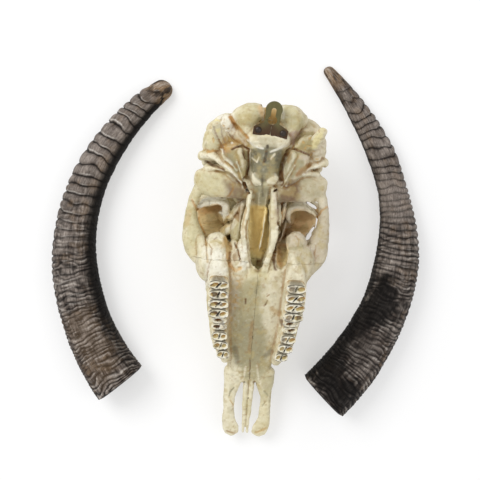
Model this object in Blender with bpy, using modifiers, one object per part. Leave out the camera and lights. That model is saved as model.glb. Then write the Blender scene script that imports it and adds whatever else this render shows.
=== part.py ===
"""Skull of a young roan antelope, lying palate up, with its two horn sheaths laid beside it.

The skull is modelled in its own frame, in millimetres: x out from the midline, y back from the
front of the premaxillae, z up from the palate towards the viewer, because it lies upside down.
It rests on its sawn horn cores and the tips of its nasals. Each horn is modelled flat on the floor.
"""

import math

import bmesh
import bpy
import numpy as np
from mathutils import Matrix, Vector

MM = 0.001
GAP = 0.3

# How the skull lies, and where it and the horns are on the floor, in millimetres and degrees.
SKULL_PITCH = 20.0
SKULL_ROLL = 2.5
SKULL_YAW = -4.2
SKULL_PLACE = (11.4, -235.7, 24.8)

# Sutures that part the fused skull. A tilted one is measured square to its plane.
WIDE = 200.0
PREMAXILLA_TILT, PREMAXILLA_REAR = 28.6, 72.0
MAXILLA_TILT, MAXILLA_REAR = -13.3, 230.4
CHEEK_INNER, CHEEK_FRONT, CHEEK_REAR, CHEEK_TOP = 61.5, 224.0, 296.0, -51.0
FRONTAL_FRONT, FRONTAL_REAR, FRONTAL_EDGE = 205.0, 322.0, -90.0

# Bone surfaces: the fusing grain, and how many triangles the fused bone keeps.
GRAIN = 1.7
FUSED_FACES = 6700

# The skull isn't even: behind the teeth its left side stands wider, and its back bends right.
LEAN = 0.04
LEAN_SPAN = (200.0, 250.0)
BEND = 4.0
BEND_SPAN = (290.0, 410.0)

# Hanger plate with its keyhole, measured from the middle of its foot.
PLATE_PLACE = (2.9, 386.2, -29.5)
PLATE_TURN = -4.8
PLATE_THICK = 1.6
PLATE_FOOT = (20.0, 4.8)
PLATE_WAIST = 8.8
PLATE_HEAD_Y = 26.6
PLATE_HEAD_R = 9.7
KEYHOLE_Y = 14.2
KEYHOLE_R = 5.3
KEYSLOT_HALF = 2.8
KEYSLOT_END = 28.6
SCREW_X, SCREW_Y, SCREW_R, SCREW_DEEP = 14.3, 1.2, 3.7, 9.0
SCREW_HEAD_FLATNESS = 0.62
SHANK_R = 1.6
PLATE_ROOM_MARGIN, PLATE_ROOM_TOP = 1.0, 9.0

# The floor, as a block that trims what would reach below it.
FLOOR_HALF, FLOOR_DEEP = 600.0, 200.0

# Horn sheaths: the middle of the mouth on the floor, the length along the middle, the heading
# from straight up the floor at stops along the way, and the half width at such stops.
HORN_FLATNESS = 0.9
HORN_SINK = 1.0
HORN_WALL = 4.5
HORN_CAVITY = 0.45
HORN_CAVITY_TAPER = 1.3
HORN_CAVITY_END = 0.72
HORN_ROWS = 46
HORN_SIDES = 16
HORN_LAST_ROW = 0.985
HORN_TIP_RISE = 0.8
HORN_FINE_STEPS = 8
HORNS = {
    "horn_left": {
        "base": (-143.0, -166.0),
        "length": 431.0,
        "headings": ((0, -38), (0.33, -9), (0.67, 28), (1, 54)),
        "half_widths": (
            (0, 34), (0.2, 30), (0.35, 28.6), (0.5, 25.3), (0.68, 21.8),
            (0.81, 18.6), (0.91, 15.4), (0.96, 12.5), (0.985, 8.5), (1, 4),
        ),
        "ring_depth": 2.6,
    },
    "horn_right": {
        "base": (108.5, -182.0),
        "length": 466.0,
        "headings": ((0, 47), (0.25, 27), (0.5, -1), (0.75, -26), (1, -39)),
        "half_widths": (
            (0, 34.5), (0.1, 34), (0.27, 30), (0.42, 27.8), (0.52, 22.6), (0.62, 17.9),
            (0.72, 17.6), (0.81, 14.8), (0.91, 10.6), (0.955, 8.5), (0.985, 5.5), (1, 3),
        ),
        "ring_depth": 1.6,
    },
}

# Upper cheek teeth of one side, front to back: place along the row, length, width, crown height
# and number of lobes. Their roots go this far into the bone below the gum line.
GUM_LINE = 4.5
ROOT_DEEP = 9.0
LOBE_SIDES = 12
WORN_HOLLOW = 0.9
TEETH = (
    (122.5, 11.0, 15.5, 9.5, 1),
    (135.0, 12.0, 18.0, 11.5, 1),
    (147.5, 12.0, 18.5, 12.0, 1),
    (162.5, 16.5, 18.5, 8.5, 2),
    (183.5, 24.0, 24.0, 14.0, 2),
    (208.0, 24.0, 23.5, 14.5, 2),
)


def clear_scene():
    for obj in list(bpy.data.objects):
        bpy.data.objects.remove(obj, do_unlink=True)


def new_collection(name):
    collection = bpy.data.collections.new(name)
    bpy.context.scene.collection.children.link(collection)
    return collection


def material(name, colour, roughness, metallic=0.0):
    made = bpy.data.materials.new(name)
    made.use_nodes = True
    shader = made.node_tree.nodes["Principled BSDF"]
    shader.inputs["Base Color"].default_value = (*colour, 1.0)
    shader.inputs["Roughness"].default_value = roughness
    shader.inputs["Metallic"].default_value = metallic
    return made


def smooth_rows(stations, per_span):
    """Rows between the stations, on a Catmull-Rom curve through all their numbers."""
    rows = np.array(stations, float)
    before = 2 * rows[0] - rows[1]
    after = 2 * rows[-1] - rows[-2]
    p = np.vstack([before, rows, after])
    t = np.arange(per_span)[:, None] / per_span
    out = []
    for a, b, c, d in zip(p, p[1:], p[2:], p[3:]):
        curve = 2 * b + (c - a) * t + (2 * a - 5 * b + 4 * c - d) * t**2
        out.append((curve + (3 * b - a - 3 * c + d) * t**3) / 2)
    return np.vstack(out + [rows[-1:]])


def skin_rings(bm, rings, first_pole, last_pole):
    """A closed surface over rings of points, with a pole at each end."""
    made = [[bm.verts.new(Vector(p) * MM) for p in ring] for ring in rings]
    for ring, following in zip(made, made[1:]):
        for i in range(len(ring)):
            j = (i + 1) % len(ring)
            bm.faces.new((ring[i], ring[j], following[j], following[i]))
    for ring, pole, turn in ((made[0], first_pole, -1), (made[-1], last_pole, 1)):
        tip = bm.verts.new(Vector(pole) * MM)
        for i in range(len(ring)):
            j = (i + 1) % len(ring)
            bm.faces.new((ring[i], ring[j], tip)[::turn])


def oval(sides, squareness, start=0.0):
    """Points of a unit oval: 2 is an ellipse, and more is squarer."""
    turn = start + np.linspace(0, 2 * math.pi, sides, endpoint=False)
    power = 2 / squareness
    across = np.sign(np.cos(turn)) * np.abs(np.cos(turn)) ** power
    along = np.sign(np.sin(turn)) * np.abs(np.sin(turn)) ** power
    return across, along


def limb(bm, stations, side=1, up=(0, 0, 1), squareness=2.0, sides=20, per_span=5, grow=0.0):
    """A bar with domed ends: an oval carried through stations of x, y, z, half width, half height."""
    rows = smooth_rows(stations, per_span)
    rows[:, 3:] += grow
    centre = rows[:, :3] * (side, 1, 1)
    ahead = np.gradient(centre, axis=0)
    ahead /= np.linalg.norm(ahead, axis=1)[:, None]
    wide = np.cross(ahead, up)
    wide /= np.linalg.norm(wide, axis=1)[:, None]
    high = np.cross(wide, ahead)
    across, along = oval(sides, squareness)
    rings = [
        c + wide_ * w * across[:, None] + high_ * h * along[:, None]
        for c, wide_, high_, (w, h) in zip(centre, wide, high, rows[:, 3:])
    ]
    dome = [math.radians(a) for a in (65, 40, 20)]
    first, last = rings[0], rings[-1]
    reach = (min(rows[0, 3:]), min(rows[-1, 3:]))
    front = [
        centre[0] + (first - centre[0]) * math.cos(a) - ahead[0] * reach[0] * math.sin(a)
        for a in dome
    ]
    back = [
        centre[-1] + (last - centre[-1]) * math.cos(a) + ahead[-1] * reach[1] * math.sin(a)
        for a in reversed(dome)
    ]
    poles = (centre[0] - ahead[0] * reach[0], centre[-1] + ahead[-1] * reach[1])
    skin_rings(bm, front + rings + back, *poles)


def limbs(bm, stations, **shape):
    for side in (-1, 1):
        limb(bm, stations, side=side, **shape)


def hull(bm, stations, squareness=2.6, sides=28, per_span=5):
    """A body across the midline. Stations: y, half widths below and above, z below and above."""
    rows = smooth_rows(stations, per_span)
    across, along = oval(sides, squareness)
    rings = []
    for y, wide_up, wide_down, z_up, z_down in rows:
        rise = (along + 1) / 2
        x = across * (wide_down + (wide_up - wide_down) * rise)
        rings.append(np.column_stack([x, np.full(sides, y), z_down + (z_up - z_down) * rise]))
    poles = [ring.mean(axis=0) for ring in (rings[0], rings[-1])]
    skin_rings(bm, rings, *poles)


def blob(bm, centre, half, side=1, turn=(0, 0, 0)):
    """An ellipsoid, turned about x, y and z by degrees."""
    mirror = Matrix.Diagonal((side, 1, 1, 1))
    spin = Matrix.Identity(4)
    for angle, axis in zip(turn, "XYZ"):
        spin = Matrix.Rotation(math.radians(angle), 4, axis) @ spin
    place = Matrix.Translation(Vector(centre) * MM)
    size = Matrix.Diagonal((*(h * MM for h in half), 1))
    bmesh.ops.create_uvsphere(
        bm, u_segments=28, v_segments=18, radius=1, matrix=mirror @ place @ spin @ size
    )


def blobs(bm, centre, half, turn=(0, 0, 0)):
    for side in (-1, 1):
        blob(bm, centre, half, side, turn)


def object_of(name, bm, collection):
    bmesh.ops.recalc_face_normals(bm, faces=bm.faces)
    mesh = bpy.data.meshes.new(name)
    bm.to_mesh(mesh)
    bm.free()
    obj = bpy.data.objects.new(name, mesh)
    collection.objects.link(obj)
    return obj


def apply_modifiers(obj):
    graph = bpy.context.evaluated_depsgraph_get()
    baked = bpy.data.meshes.new_from_object(obj.evaluated_get(graph))
    obj.modifiers.clear()
    obj.data = baked


def fuse(obj, grain, rounds=2):
    """One skin over all the shells of an object."""
    remesh = obj.modifiers.new("fuse", "REMESH")
    remesh.mode = "VOXEL"
    remesh.voxel_size = grain * MM
    if rounds:
        soften = obj.modifiers.new("soften", "SMOOTH")
        soften.factor = 0.5
        soften.iterations = rounds
    apply_modifiers(obj)


def boolean(obj, other, operation, solver="EXACT"):
    modifier = obj.modifiers.new(operation.lower(), "BOOLEAN")
    modifier.operation = operation
    modifier.solver = solver
    modifier.object = other
    apply_modifiers(obj)


def largest_surface(obj):
    """Keeps the largest closed surface of an object, by the volume it holds."""
    bm = bmesh.new()
    bm.from_mesh(obj.data)
    bm.verts.ensure_lookup_table()
    unseen = set(bm.verts)
    groups = []
    while unseen:
        found = {unseen.pop()}
        edge = list(found)
        while edge:
            near = {e.other_vert(v) for v in edge for e in v.link_edges} - found
            found |= near
            edge = list(near)
        unseen -= found
        faces = {f for v in found for f in v.link_faces}
        volume = sum(
            f.verts[0].co.dot(f.verts[i].co.cross(f.verts[i + 1].co))
            for f in faces
            for i in range(1, len(f.verts) - 1)
        )
        groups.append((abs(volume), found))
    keep = max(groups, key=lambda group: group[0])[1]
    bmesh.ops.delete(bm, geom=[v for v in bm.verts if v not in keep], context="VERTS")
    bm.to_mesh(obj.data)
    bm.free()


def braincase_shells(bm):
    blob(bm, (0, 330, -66), (42, 58, 34))
    # Forehead, crown and the back of the head.
    hull(bm, (
        (240, 30, 44, -70, -108),
        (262, 34, 60, -86, -114),
        (284, 38, 56, -80, -116),
        (306, 42, 44, -56, -108),
        (338, 44, 42, -40, -98),
        (364, 52, 37, -36, -91),
        (382, 46, 32, -38, -85),
    ))
    # Floor of the braincase, from the narrow front of the sphenoid to the occipital condyles.
    hull(bm, (
        (292, 3, 14, -31, -50),
        (310, 8, 18, -28, -52),
        (332, 15, 22, -24, -54),
        (346, 16, 22, -26, -56),
        (360, 18, 26, -26, -58),
        (374, 24, 30, -26, -60),
        (384, 25, 30, -29, -62),
        (391, 21, 26, -32, -62),
    ))
    blobs(bm, (9, 331, -24), (6.5, 9, 4.5), (0, 0, -14))
    # Broad plates of the temple, with the joint surface for the lower jaw.
    limbs(bm, (
        (8, 316, -40, 13, 9),
        (26, 316, -36, 13, 8.5),
        (44, 320, -36, 16.5, 8.5),
        (58, 321, -38, 18, 8.5),
        (70, 319, -42, 15, 8),
    ), squareness=2.8)
    # Swellings under the ear, pointed forwards and inwards.
    limbs(bm, (
        (40, 360, -35, 12, 12),
        (37.5, 346, -31, 12, 13),
        (30, 332, -32, 8, 9),
        (24, 322, -36, 4.5, 6),
    ))
    # Tubes of the ear.
    limbs(bm, ((40, 354, -40, 9, 9), (58, 352, -42, 7, 7.5), (70, 351, -43, 5.5, 5.5)))
    limbs(bm, ((34, 343, -50, 12, 11), (54, 342, -52, 10, 9), (66, 341, -52, 6, 7)))
    blobs(bm, (60, 367, -50), (12, 15, 20))
    blobs(bm, (44, 378, -60), (17, 16, 16))
    limbs(bm, (
        (36, 388, -66, 9, 11),
        (50, 387, -66, 9, 11),
        (61, 379, -60, 9, 12),
    ))
    limbs(bm, (
        (50, 368, -42, 9, 7),
        (53, 380, -28, 6.5, 5),
        (58.5, 392, -15, 5.4, 4.2),
        (60.5, 398, -10, 4.6, 3.4),
    ))
    # Condyles: wedges that point forwards from the back of the skull.
    limbs(bm, (
        (14, 404, -53, 9.5, 13),
        (25, 402.5, -50, 11, 14.5),
        (35, 398.5, -53, 9, 13),
    ), squareness=2.5)
    limbs(bm, ((27, 378, -46, 6, 9), (27, 386, -46, 10, 12), (27, 396, -49, 14, 14)))
    # Far rim of the hole for the spinal cord, which shows between the condyles.
    blob(bm, (0, 390, -77), (22, 15, 9))


def orbit_shells(bm):
    # The narrow wall between the eye sockets.
    hull(bm, (
        (216, 34, 44, -30, -98),
        (236, 20, 38, -36, -104),
        (258, 15, 30, -38, -106),
        (280, 16, 30, -36, -106),
        (300, 18, 34, -36, -100),
    ), squareness=2.2)
    # Walls either side of the inner nostrils.
    limbs(bm, (
        (16, 226, -15, 5.5, 13),
        (17.2, 246, -15, 5, 12.5),
        (17.8, 266, -18, 4.6, 12.5),
        (16.8, 288, -20, 4.2, 12),
        (15.5, 305, -21, 4.2, 9),
        (14, 320, -29, 4, 7),
    ), squareness=3)
    # Roof of the eye socket, and the wall in front of it.
    limbs(bm, (
        (52, 228, -96, 20, 7),
        (55, 246, -98, 21.5, 7),
        (57, 264, -100, 20.5, 7),
        (57, 282, -96, 18, 8),
    ), squareness=3)
    limbs(bm, (
        (60, 240, -40, 16, 7),
        (58, 241, -60, 17, 7),
        (57, 243, -80, 18, 7),
        (56, 246, -96, 18, 7),
    ), up=(0, 1, 0), squareness=2.6)
    limbs(bm, (
        (47, 226, -14, 12, 11),
        (47, 238, -19, 14, 12),
        (47.5, 250, -25, 14.5, 13),
        (47.5, 257, -29, 13, 12),
    ))
    # The bar behind each eye socket, which turns inwards over its roof.
    limbs(bm, (
        (80, 277, -50, 6, 6.5),
        (77.5, 280, -62, 6, 6.5),
        (71, 284, -71, 9, 7),
        (57, 287, -75, 14, 8),
        (44, 286, -74, 13, 9),
        (34, 279, -70, 8, 10),
        (28, 268, -66, 6, 10),
    ), up=(0, 1, 0))
    # Cheek bar, from the face to the joint of the lower jaw.
    limbs(bm, (
        (52, 194, -20, 8, 11),
        (54, 211, -24, 8, 12),
        (61, 224, -30, 11, 13),
        (72, 237, -35, 13, 12),
        (76, 253, -39, 12, 11),
        (79, 270, -42, 8, 10),
        (79, 286, -44, 6.5, 9),
        (76, 301, -43, 6, 8),
        (69, 319, -41, 6.5, 7.5),
        (61, 335, -39, 8, 7.5),
    ), squareness=2.4)


def face_shells(bm):
    hull(bm, (
        (76, 30.5, 15, -6, -53),
        (92, 31, 17, -3, -56),
        (108, 33, 20, -1.5, -61),
        (130, 39, 23, -1.5, -69),
        (165, 49, 29, -1.5, -81),
        (200, 54, 36, -2, -93),
        (228, 54, 46, -8, -103),
        (240, 48, 48, -24, -104),
    ), squareness=3)
    # The ridge that holds the cheek teeth.
    limbs(bm, (
        (31, 108, -6, 6, 6),
        (35, 122, -3, 8.5, 8),
        (39, 137, -2.5, 11, 8),
        (42, 160, -2.5, 12, 8),
        (44.7, 184, -2.5, 13.5, 8),
        (45.3, 208, -3, 13.2, 8),
        (45, 228, -9, 11, 9),
    ), squareness=2.6)


def premaxilla_shells(bm):
    limbs(bm, (
        (13.5, 4, -6, 7, 2.4),
        (18, 11, -6, 10, 2.8),
        (22.2, 24, -6.5, 8, 3.4),
        (22.4, 41, -8, 6.6, 4.2),
        (22.3, 56, -10, 7, 5.2),
        (20.2, 72, -12, 10.6, 6.5),
        (19, 88, -13, 12.6, 8),
    ), squareness=2.6)
    # The blade that runs up beside the nose opening.
    limbs(bm, (
        (27, 40, -11, 2.6, 4),
        (27, 60, -19, 2.8, 8),
        (25, 82, -30, 3, 11),
        (22.5, 104, -44, 3, 10),
        (21, 118, -52, 3, 7),
    ))
    # The thin bars along the midline.
    limbs(bm, (
        (5, 8, -6.5, 2.3, 2),
        (3.8, 20, -7, 1.8, 2.2),
        (3.8, 40, -8, 2.2, 3),
        (4, 60, -9, 2.5, 4),
        (3.8, 84, -10, 3.2, 6),
    ))


def core_stub_shells(bm):
    """What is left of the horn cores, sawn level with the floor."""
    limbs(bm, (
        (30, 268, -98, 20, 23),
        (33, 276, -118, 19, 22),
        (37, 290, -150, 17, 20),
    ), up=(0, 1, 0))


def bone_cutters(bm):
    # Nasal cavity, in from the front.
    hull(bm, (
        (30, 19, 12, -10, -50),
        (70, 21, 11, -12, -48),
        (95, 22, 13, -11, -50),
        (120, 24, 15, -12, -58),
        (150, 20, 15, -16, -60),
    ), squareness=2.4)
    # Inner nostrils: a tunnel, and over it a wedge whose point is in the back of the palate.
    hull(bm, (
        (190, 9, 8, -12, -30),
        (225, 9.5, 9, -9, -33),
        (270, 11, 11, -8, -35),
        (318, 9, 7, -8, -25),
    ), squareness=3)
    hull(bm, (
        (226, 1.2, 1.2, 12, -24),
        (236, 5.6, 5.6, 12, -24),
        (247, 10, 10, 12, -24),
        (264, 12.8, 12, 12, -24),
        (288, 12.4, 11, 12, -24),
        (306, 11, 10, 12, -24),
        (320, 9, 8, 12, -24),
    ), squareness=4)
    # Pits between those walls and the back of the tooth rows.
    limbs(bm, (
        (28, 236, 14, 7.5, 12),
        (28, 238, -4, 7.5, 14),
        (29, 244, -22, 7, 13),
        (30, 252, -38, 6, 10),
    ), up=(0, 1, 0))
    # Slits between the floor of the braincase and the swellings under the ear.
    limbs(bm, (
        (21.5, 366, -20, 1.7, 8),
        (20.5, 350, -20, 1.7, 9),
        (19, 334, -20, 1.7, 9),
        (18.5, 318, -22, 1.7, 8),
    ))
    # The hole for the spinal cord, and the notch between the condyles.
    limb(bm, ((0, 436, -52, 13, 13), (0, 404, -53, 13, 13), (0, 368, -56, 13, 13)))
    limb(bm, ((0, 436, -40, 8, 16), (0, 410, -40, 8, 16), (0, 398, -42, 6, 12)))
    # The palate is hollowed between the tooth rows.
    limb(bm, (
        (0, 96, 14, 10, 14),
        (0, 130, 14, 22, 15.5),
        (0, 190, 14, 30, 16.5),
        (0, 222, 14, 26, 15),
    ))


def uneven(mesh):
    """Leans and bends a surface of the skull as LEAN and BEND say."""
    points = np.empty(len(mesh.vertices) * 3)
    mesh.vertices.foreach_get("co", points)
    points = points.reshape(-1, 3) / MM
    wider = LEAN * np.interp(points[:, 1], LEAN_SPAN, (0, 1))
    back = (points[:, 1] - BEND_SPAN[0]) / (BEND_SPAN[1] - BEND_SPAN[0])
    points[:, 0] += BEND * np.maximum(back, 0) ** 2 - wider * np.abs(points[:, 0])
    mesh.vertices.foreach_set("co", points.ravel() * MM)
    mesh.update()


def box(name, low, high, collection, matrix=None):
    """A helper block between two corners, in millimetres."""
    bm = bmesh.new()
    low, high = np.array(low, float), np.array(high, float)
    place = Matrix.Translation(Vector((low + high) / 2) * MM)
    size = Matrix.Diagonal((*((high - low) * MM), 1))
    bmesh.ops.create_cube(bm, size=1, matrix=(matrix or Matrix()) @ place @ size)
    return object_of(name, bm, collection)


def copy_of(obj, name, collection):
    twin = bpy.data.objects.new(name, obj.data.copy())
    twin.matrix_world = obj.matrix_world.copy()
    collection.objects.link(twin)
    return twin


def part_off(body, name, low, high, collection, helpers, turn=None):
    """Takes what lies in a block off the body as a bone of its own, with a thin gap between them."""
    matrix = turn or Matrix()
    low, high = np.array(low, float), np.array(high, float)
    inner = box("inner", low + GAP / 2, high - GAP / 2, helpers, matrix)
    outer = box("outer", low - GAP / 2, high + GAP / 2, helpers, matrix)
    piece = copy_of(body, name, collection)
    boolean(piece, inner, "INTERSECT")
    boolean(body, outer, "DIFFERENCE")
    for helper in (inner, outer):
        bpy.data.objects.remove(helper)
    largest_surface(piece)
    return piece


def nasal_stations():
    return (
        (0, 73, -50, 12, 3),
        (0, 84, -52.5, 16.5, 4),
        (0, 110, -58.5, 18.5, 5),
        (0, 150, -72, 18, 5.5),
        (0, 188, -85, 15, 5.5),
        (0, 206, -91, 9, 5),
    )


def tilted(degrees):
    return Matrix.Rotation(math.radians(degrees), 4, "X")


def fused_skull(bones, helpers):
    """All the shells of the skull under one skin, with its hollows cut in."""
    bm = bmesh.new()
    for shells in (
        braincase_shells,
        orbit_shells,
        face_shells,
        premaxilla_shells,
        core_stub_shells,
    ):
        shells(bm)
    skull = object_of("cranium", bm, bones)
    fuse(skull, GRAIN)
    bm = bmesh.new()
    bone_cutters(bm)
    cutters = object_of("hollows", bm, helpers)
    fuse(cutters, GRAIN, rounds=0)
    boolean(skull, cutters, "DIFFERENCE", "MANIFOLD")
    fuse(skull, GRAIN)
    thin = skull.modifiers.new("thin", "DECIMATE")
    thin.ratio = FUSED_FACES / (2 * len(skull.data.polygons))
    apply_modifiers(skull)
    largest_surface(skull)
    uneven(skull.data)
    return skull


def part_nasals(skull, bones, helpers):
    pieces = []
    for name, grow, collection in (("nasals", 0.0, bones), ("nasal_bed", GAP, helpers)):
        bm = bmesh.new()
        limb(bm, nasal_stations(), squareness=2.4, sides=16, per_span=3, grow=grow)
        pieces.append(object_of(name, bm, collection))
    boolean(skull, pieces[1], "DIFFERENCE")
    return pieces[0]


def part_bones(skull, bones, helpers):
    """Parts the fused skull along its main sutures."""
    for side, word in ((-1, "left"), (1, "right")):
        low, high = sorted((0, side * WIDE))
        part_off(
            skull,
            f"premaxilla_{word}",
            (low, -WIDE, -WIDE),
            (high, PREMAXILLA_REAR, WIDE),
            bones,
            helpers,
            tilted(PREMAXILLA_TILT),
        )
        part_off(
            skull,
            f"maxilla_{word}",
            (low, -WIDE, -WIDE),
            (high, MAXILLA_REAR, WIDE),
            bones,
            helpers,
            tilted(MAXILLA_TILT),
        )
        low, high = sorted((side * CHEEK_INNER, side * WIDE))
        part_off(
            skull,
            f"zygomatic_{word}",
            (low, CHEEK_FRONT, CHEEK_TOP),
            (high, CHEEK_REAR, WIDE),
            bones,
            helpers,
        )
    part_off(
        skull,
        "frontal",
        (-WIDE, FRONTAL_FRONT, -WIDE),
        (WIDE, FRONTAL_REAR, FRONTAL_EDGE),
        bones,
        helpers,
    )
    largest_surface(skull)


def tooth_lobe(bm, centre, half_long, half_wide, height, side):
    """One lobe of a cheek tooth: a worn crown with a raised rim round its hollow middle."""
    across, along = oval(LOBE_SIDES, 2.8)
    crown = ((height * 0.6, 1.0), (height, 0.9), (height - WORN_HOLLOW, 0.56))
    levels = ((-ROOT_DEEP, 0.86), (0, 0.94), *crown)
    rings = []
    for rise, size in levels:
        x = side * (centre[0] + across * half_wide * size)
        y = centre[1] + along * half_long * size
        rings.append(np.column_stack([x, y, np.full(LOBE_SIDES, centre[2] + rise)]))
    skin_rings(bm, rings, rings[0].mean(axis=0), rings[-1].mean(axis=0))


def row_line(y):
    """How far from the midline the middle of the tooth row is."""
    stops = (116, 122, 134, 147, 162, 183, 220)
    return np.interp(y, stops, (33.0, 34.8, 38.4, 40.8, 42.0, 44.7, 45.3))


def set_teeth(maxilla, side, helpers):
    """Fuses the cheek teeth of one side to the bone that they grow from."""
    bm = bmesh.new()
    for y, long, wide, height, lobes in TEETH:
        step = long / lobes
        for k in range(lobes):
            at = y + (k - (lobes - 1) / 2) * step
            middle = (row_line(at), at, GUM_LINE)
            tooth_lobe(bm, middle, step / 2 - GAP, wide / 2, height, side)
    teeth = object_of("teeth", bm, helpers)
    boolean(maxilla, teeth, "UNION")
    largest_surface(maxilla)


def horn_line(horn):
    """Middle of the sheath on the floor and its heading, at evenly spaced shares of its length."""
    steps = HORN_ROWS * HORN_FINE_STEPS
    share = np.linspace(0, 1, steps + 1)
    turn = np.radians(np.interp(share, *zip(*horn["headings"])))
    step = np.column_stack([np.sin(turn), np.cos(turn)]) * horn["length"] / steps
    run = np.vstack([[0, 0], np.cumsum((step[1:] + step[:-1]) / 2, axis=0)])
    return share, run + horn["base"], turn


def sheath(name, horn, bones):
    """A hollow horn sheath on the floor: an oval carried along a curve whose heading turns steadily."""
    share, run, turn = horn_line(horn)
    rows = np.linspace(0, HORN_LAST_ROW, HORN_ROWS + 1)
    nearest = np.interp(rows, share, np.arange(len(share))).round().astype(int)
    places, heads, f = run[nearest], turn[nearest], share[nearest]
    wide = np.interp(f, *zip(*horn["half_widths"]))
    ring = horn["ring_depth"] * np.interp(f, (0, 0.18, 0.4, 0.9, 1), (0.1, 0.3, 1, 1, 0.2))
    crest = (wide + ring / 2) * HORN_FLATNESS
    wide += ring * np.where(np.arange(HORN_ROWS + 1) % 2, 1, -1) / 2
    high = wide * HORN_FLATNESS
    across, up = oval(HORN_SIDES, 2.0, start=math.pi / HORN_SIDES)

    def ring_at(k, wall):
        """The ring of row k, drawn in by a wall; only the outside is flat where it meets the floor."""
        out = np.array([math.cos(heads[k]), -math.sin(heads[k])])
        flat = places[k] + out * (wide[k] - wall) * across[:, None]
        level = crest[k] + (high[k] - wall) * up - HORN_SINK
        return np.column_stack([flat, level if wall else np.maximum(level, 0.0)])

    outer = [ring_at(k, 0) for k in range(HORN_ROWS, -1, -1)]
    deep = int(HORN_ROWS * HORN_CAVITY)
    inner = []
    for k in range(0, deep + 1, 3):
        closing = (k / deep) ** HORN_CAVITY_TAPER
        inner.append(ring_at(k, HORN_WALL + (wide[k] * HORN_CAVITY_END - HORN_WALL) * closing))
    tip = np.append(run[-1], high[-1] * HORN_TIP_RISE)
    bm = bmesh.new()
    skin_rings(bm, outer + inner, tip, inner[-1].mean(axis=0))
    return object_of(name, bm, bones)


def plate_frame():
    turn = Matrix.Rotation(math.radians(PLATE_TURN), 4, "Z")
    return Matrix.Translation(Vector(PLATE_PLACE) * MM) @ turn


def disc(name, centre, radius, low, high, collection, sides=32):
    """A round helper or part on the hanger plate."""
    bm = bmesh.new()
    place = Matrix.Translation(Vector((centre[0], centre[1], (low + high) / 2)) * MM)
    bmesh.ops.create_cone(
        bm,
        cap_ends=True,
        segments=sides,
        radius1=radius * MM,
        radius2=radius * MM,
        depth=(high - low) * MM,
        matrix=plate_frame() @ place,
    )
    return object_of(name, bm, collection)


def hanger(skull, bones, helpers):
    """A thin plate with a keyhole, screwed down behind the hole for the spinal cord."""
    half, deep = PLATE_FOOT
    top = PLATE_THICK
    through = -1, top + 1
    frame = plate_frame()
    plate = box("hanger_plate", (-half, -deep, 0), (half, deep, top), bones, frame)
    neck = (-PLATE_WAIST, 0, 0), (PLATE_WAIST, PLATE_HEAD_Y, top)
    boolean(plate, box("neck", *neck, helpers, frame), "UNION")
    head = disc("head", (0, PLATE_HEAD_Y), PLATE_HEAD_R, 0, top, helpers)
    boolean(plate, head, "UNION")
    slot_end = KEYSLOT_END - KEYSLOT_HALF
    slot = (-KEYSLOT_HALF, KEYHOLE_Y, through[0]), (KEYSLOT_HALF, slot_end, through[1])
    boolean(plate, disc("keyhole", (0, KEYHOLE_Y), KEYHOLE_R, *through, helpers), "DIFFERENCE")
    boolean(plate, box("slot", *slot, helpers, frame), "DIFFERENCE")
    boolean(plate, disc("end", (0, slot_end), KEYSLOT_HALF, *through, helpers, 20), "DIFFERENCE")
    margin = PLATE_ROOM_MARGIN
    far = PLATE_HEAD_Y + PLATE_HEAD_R + margin
    room = (-half - margin, -deep - margin, -GAP), (half + margin, far, PLATE_ROOM_TOP)
    boolean(skull, box("room", *room, helpers, frame), "DIFFERENCE")
    largest_surface(skull)
    for side, word in ((-1, "left"), (1, "right")):
        spot = (side * SCREW_X, SCREW_Y)
        hanger_screw(f"hanger_screw_{word}", spot, bones, helpers)
        bore = disc("bore", spot, SHANK_R + GAP, -SCREW_DEEP - GAP, through[1], helpers, 16)
        boolean(plate, bore, "DIFFERENCE")
        boolean(skull, bore, "DIFFERENCE")
    largest_surface(skull)


def hanger_screw(name, spot, bones, helpers):
    """A round-headed screw: a low dome on a shank that goes through the plate into the bone."""
    top = PLATE_THICK + GAP
    bm = bmesh.new()
    place = Matrix.Translation(Vector((*spot, top)) * MM)
    radius = SCREW_R * MM
    size = Matrix.Diagonal((radius, radius, radius * SCREW_HEAD_FLATNESS, 1))
    bmesh.ops.create_uvsphere(
        bm, u_segments=20, v_segments=12, radius=1, matrix=plate_frame() @ place @ size
    )
    screw = object_of(name, bm, bones)
    reach = 2 * SCREW_R
    low = (spot[0] - reach, spot[1] - reach, top - reach)
    under = box("under", low, (spot[0] + reach, spot[1] + reach, top), helpers, plate_frame())
    boolean(screw, under, "DIFFERENCE")
    shank_top = top + SCREW_R * SCREW_HEAD_FLATNESS / 4
    boolean(screw, disc("shank", spot, SHANK_R, -SCREW_DEEP, shank_top, helpers, 12), "UNION")


def skull_pose():
    """The empty that holds the skull as it lies on the floor."""
    pose = bpy.data.objects.new("skull_pose", None)
    bpy.context.scene.collection.objects.link(pose)
    pose.matrix_world = (
        Matrix.Translation(Vector(SKULL_PLACE) * MM)
        @ Matrix.Rotation(math.radians(SKULL_YAW), 4, "Z")
        @ Matrix.Rotation(math.radians(SKULL_PITCH), 4, "X")
        @ Matrix.Rotation(math.radians(SKULL_ROLL), 4, "Y")
    )
    return pose


def finish(bones):
    bone = material("bone", (0.80, 0.74, 0.56), 0.55)
    horn = material("horn", (0.11, 0.09, 0.08), 0.6)
    brass = material("aged_brass", (0.20, 0.16, 0.07), 0.4, 0.9)
    for obj in bones.objects:
        obj.data.materials.clear()
        made_of = horn if obj.name.startswith("horn") else bone
        obj.data.materials.append(brass if obj.name.startswith("hanger") else made_of)
        obj.data.shade_smooth()
        obj.data.set_sharp_from_angle(angle=math.radians(50))


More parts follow.
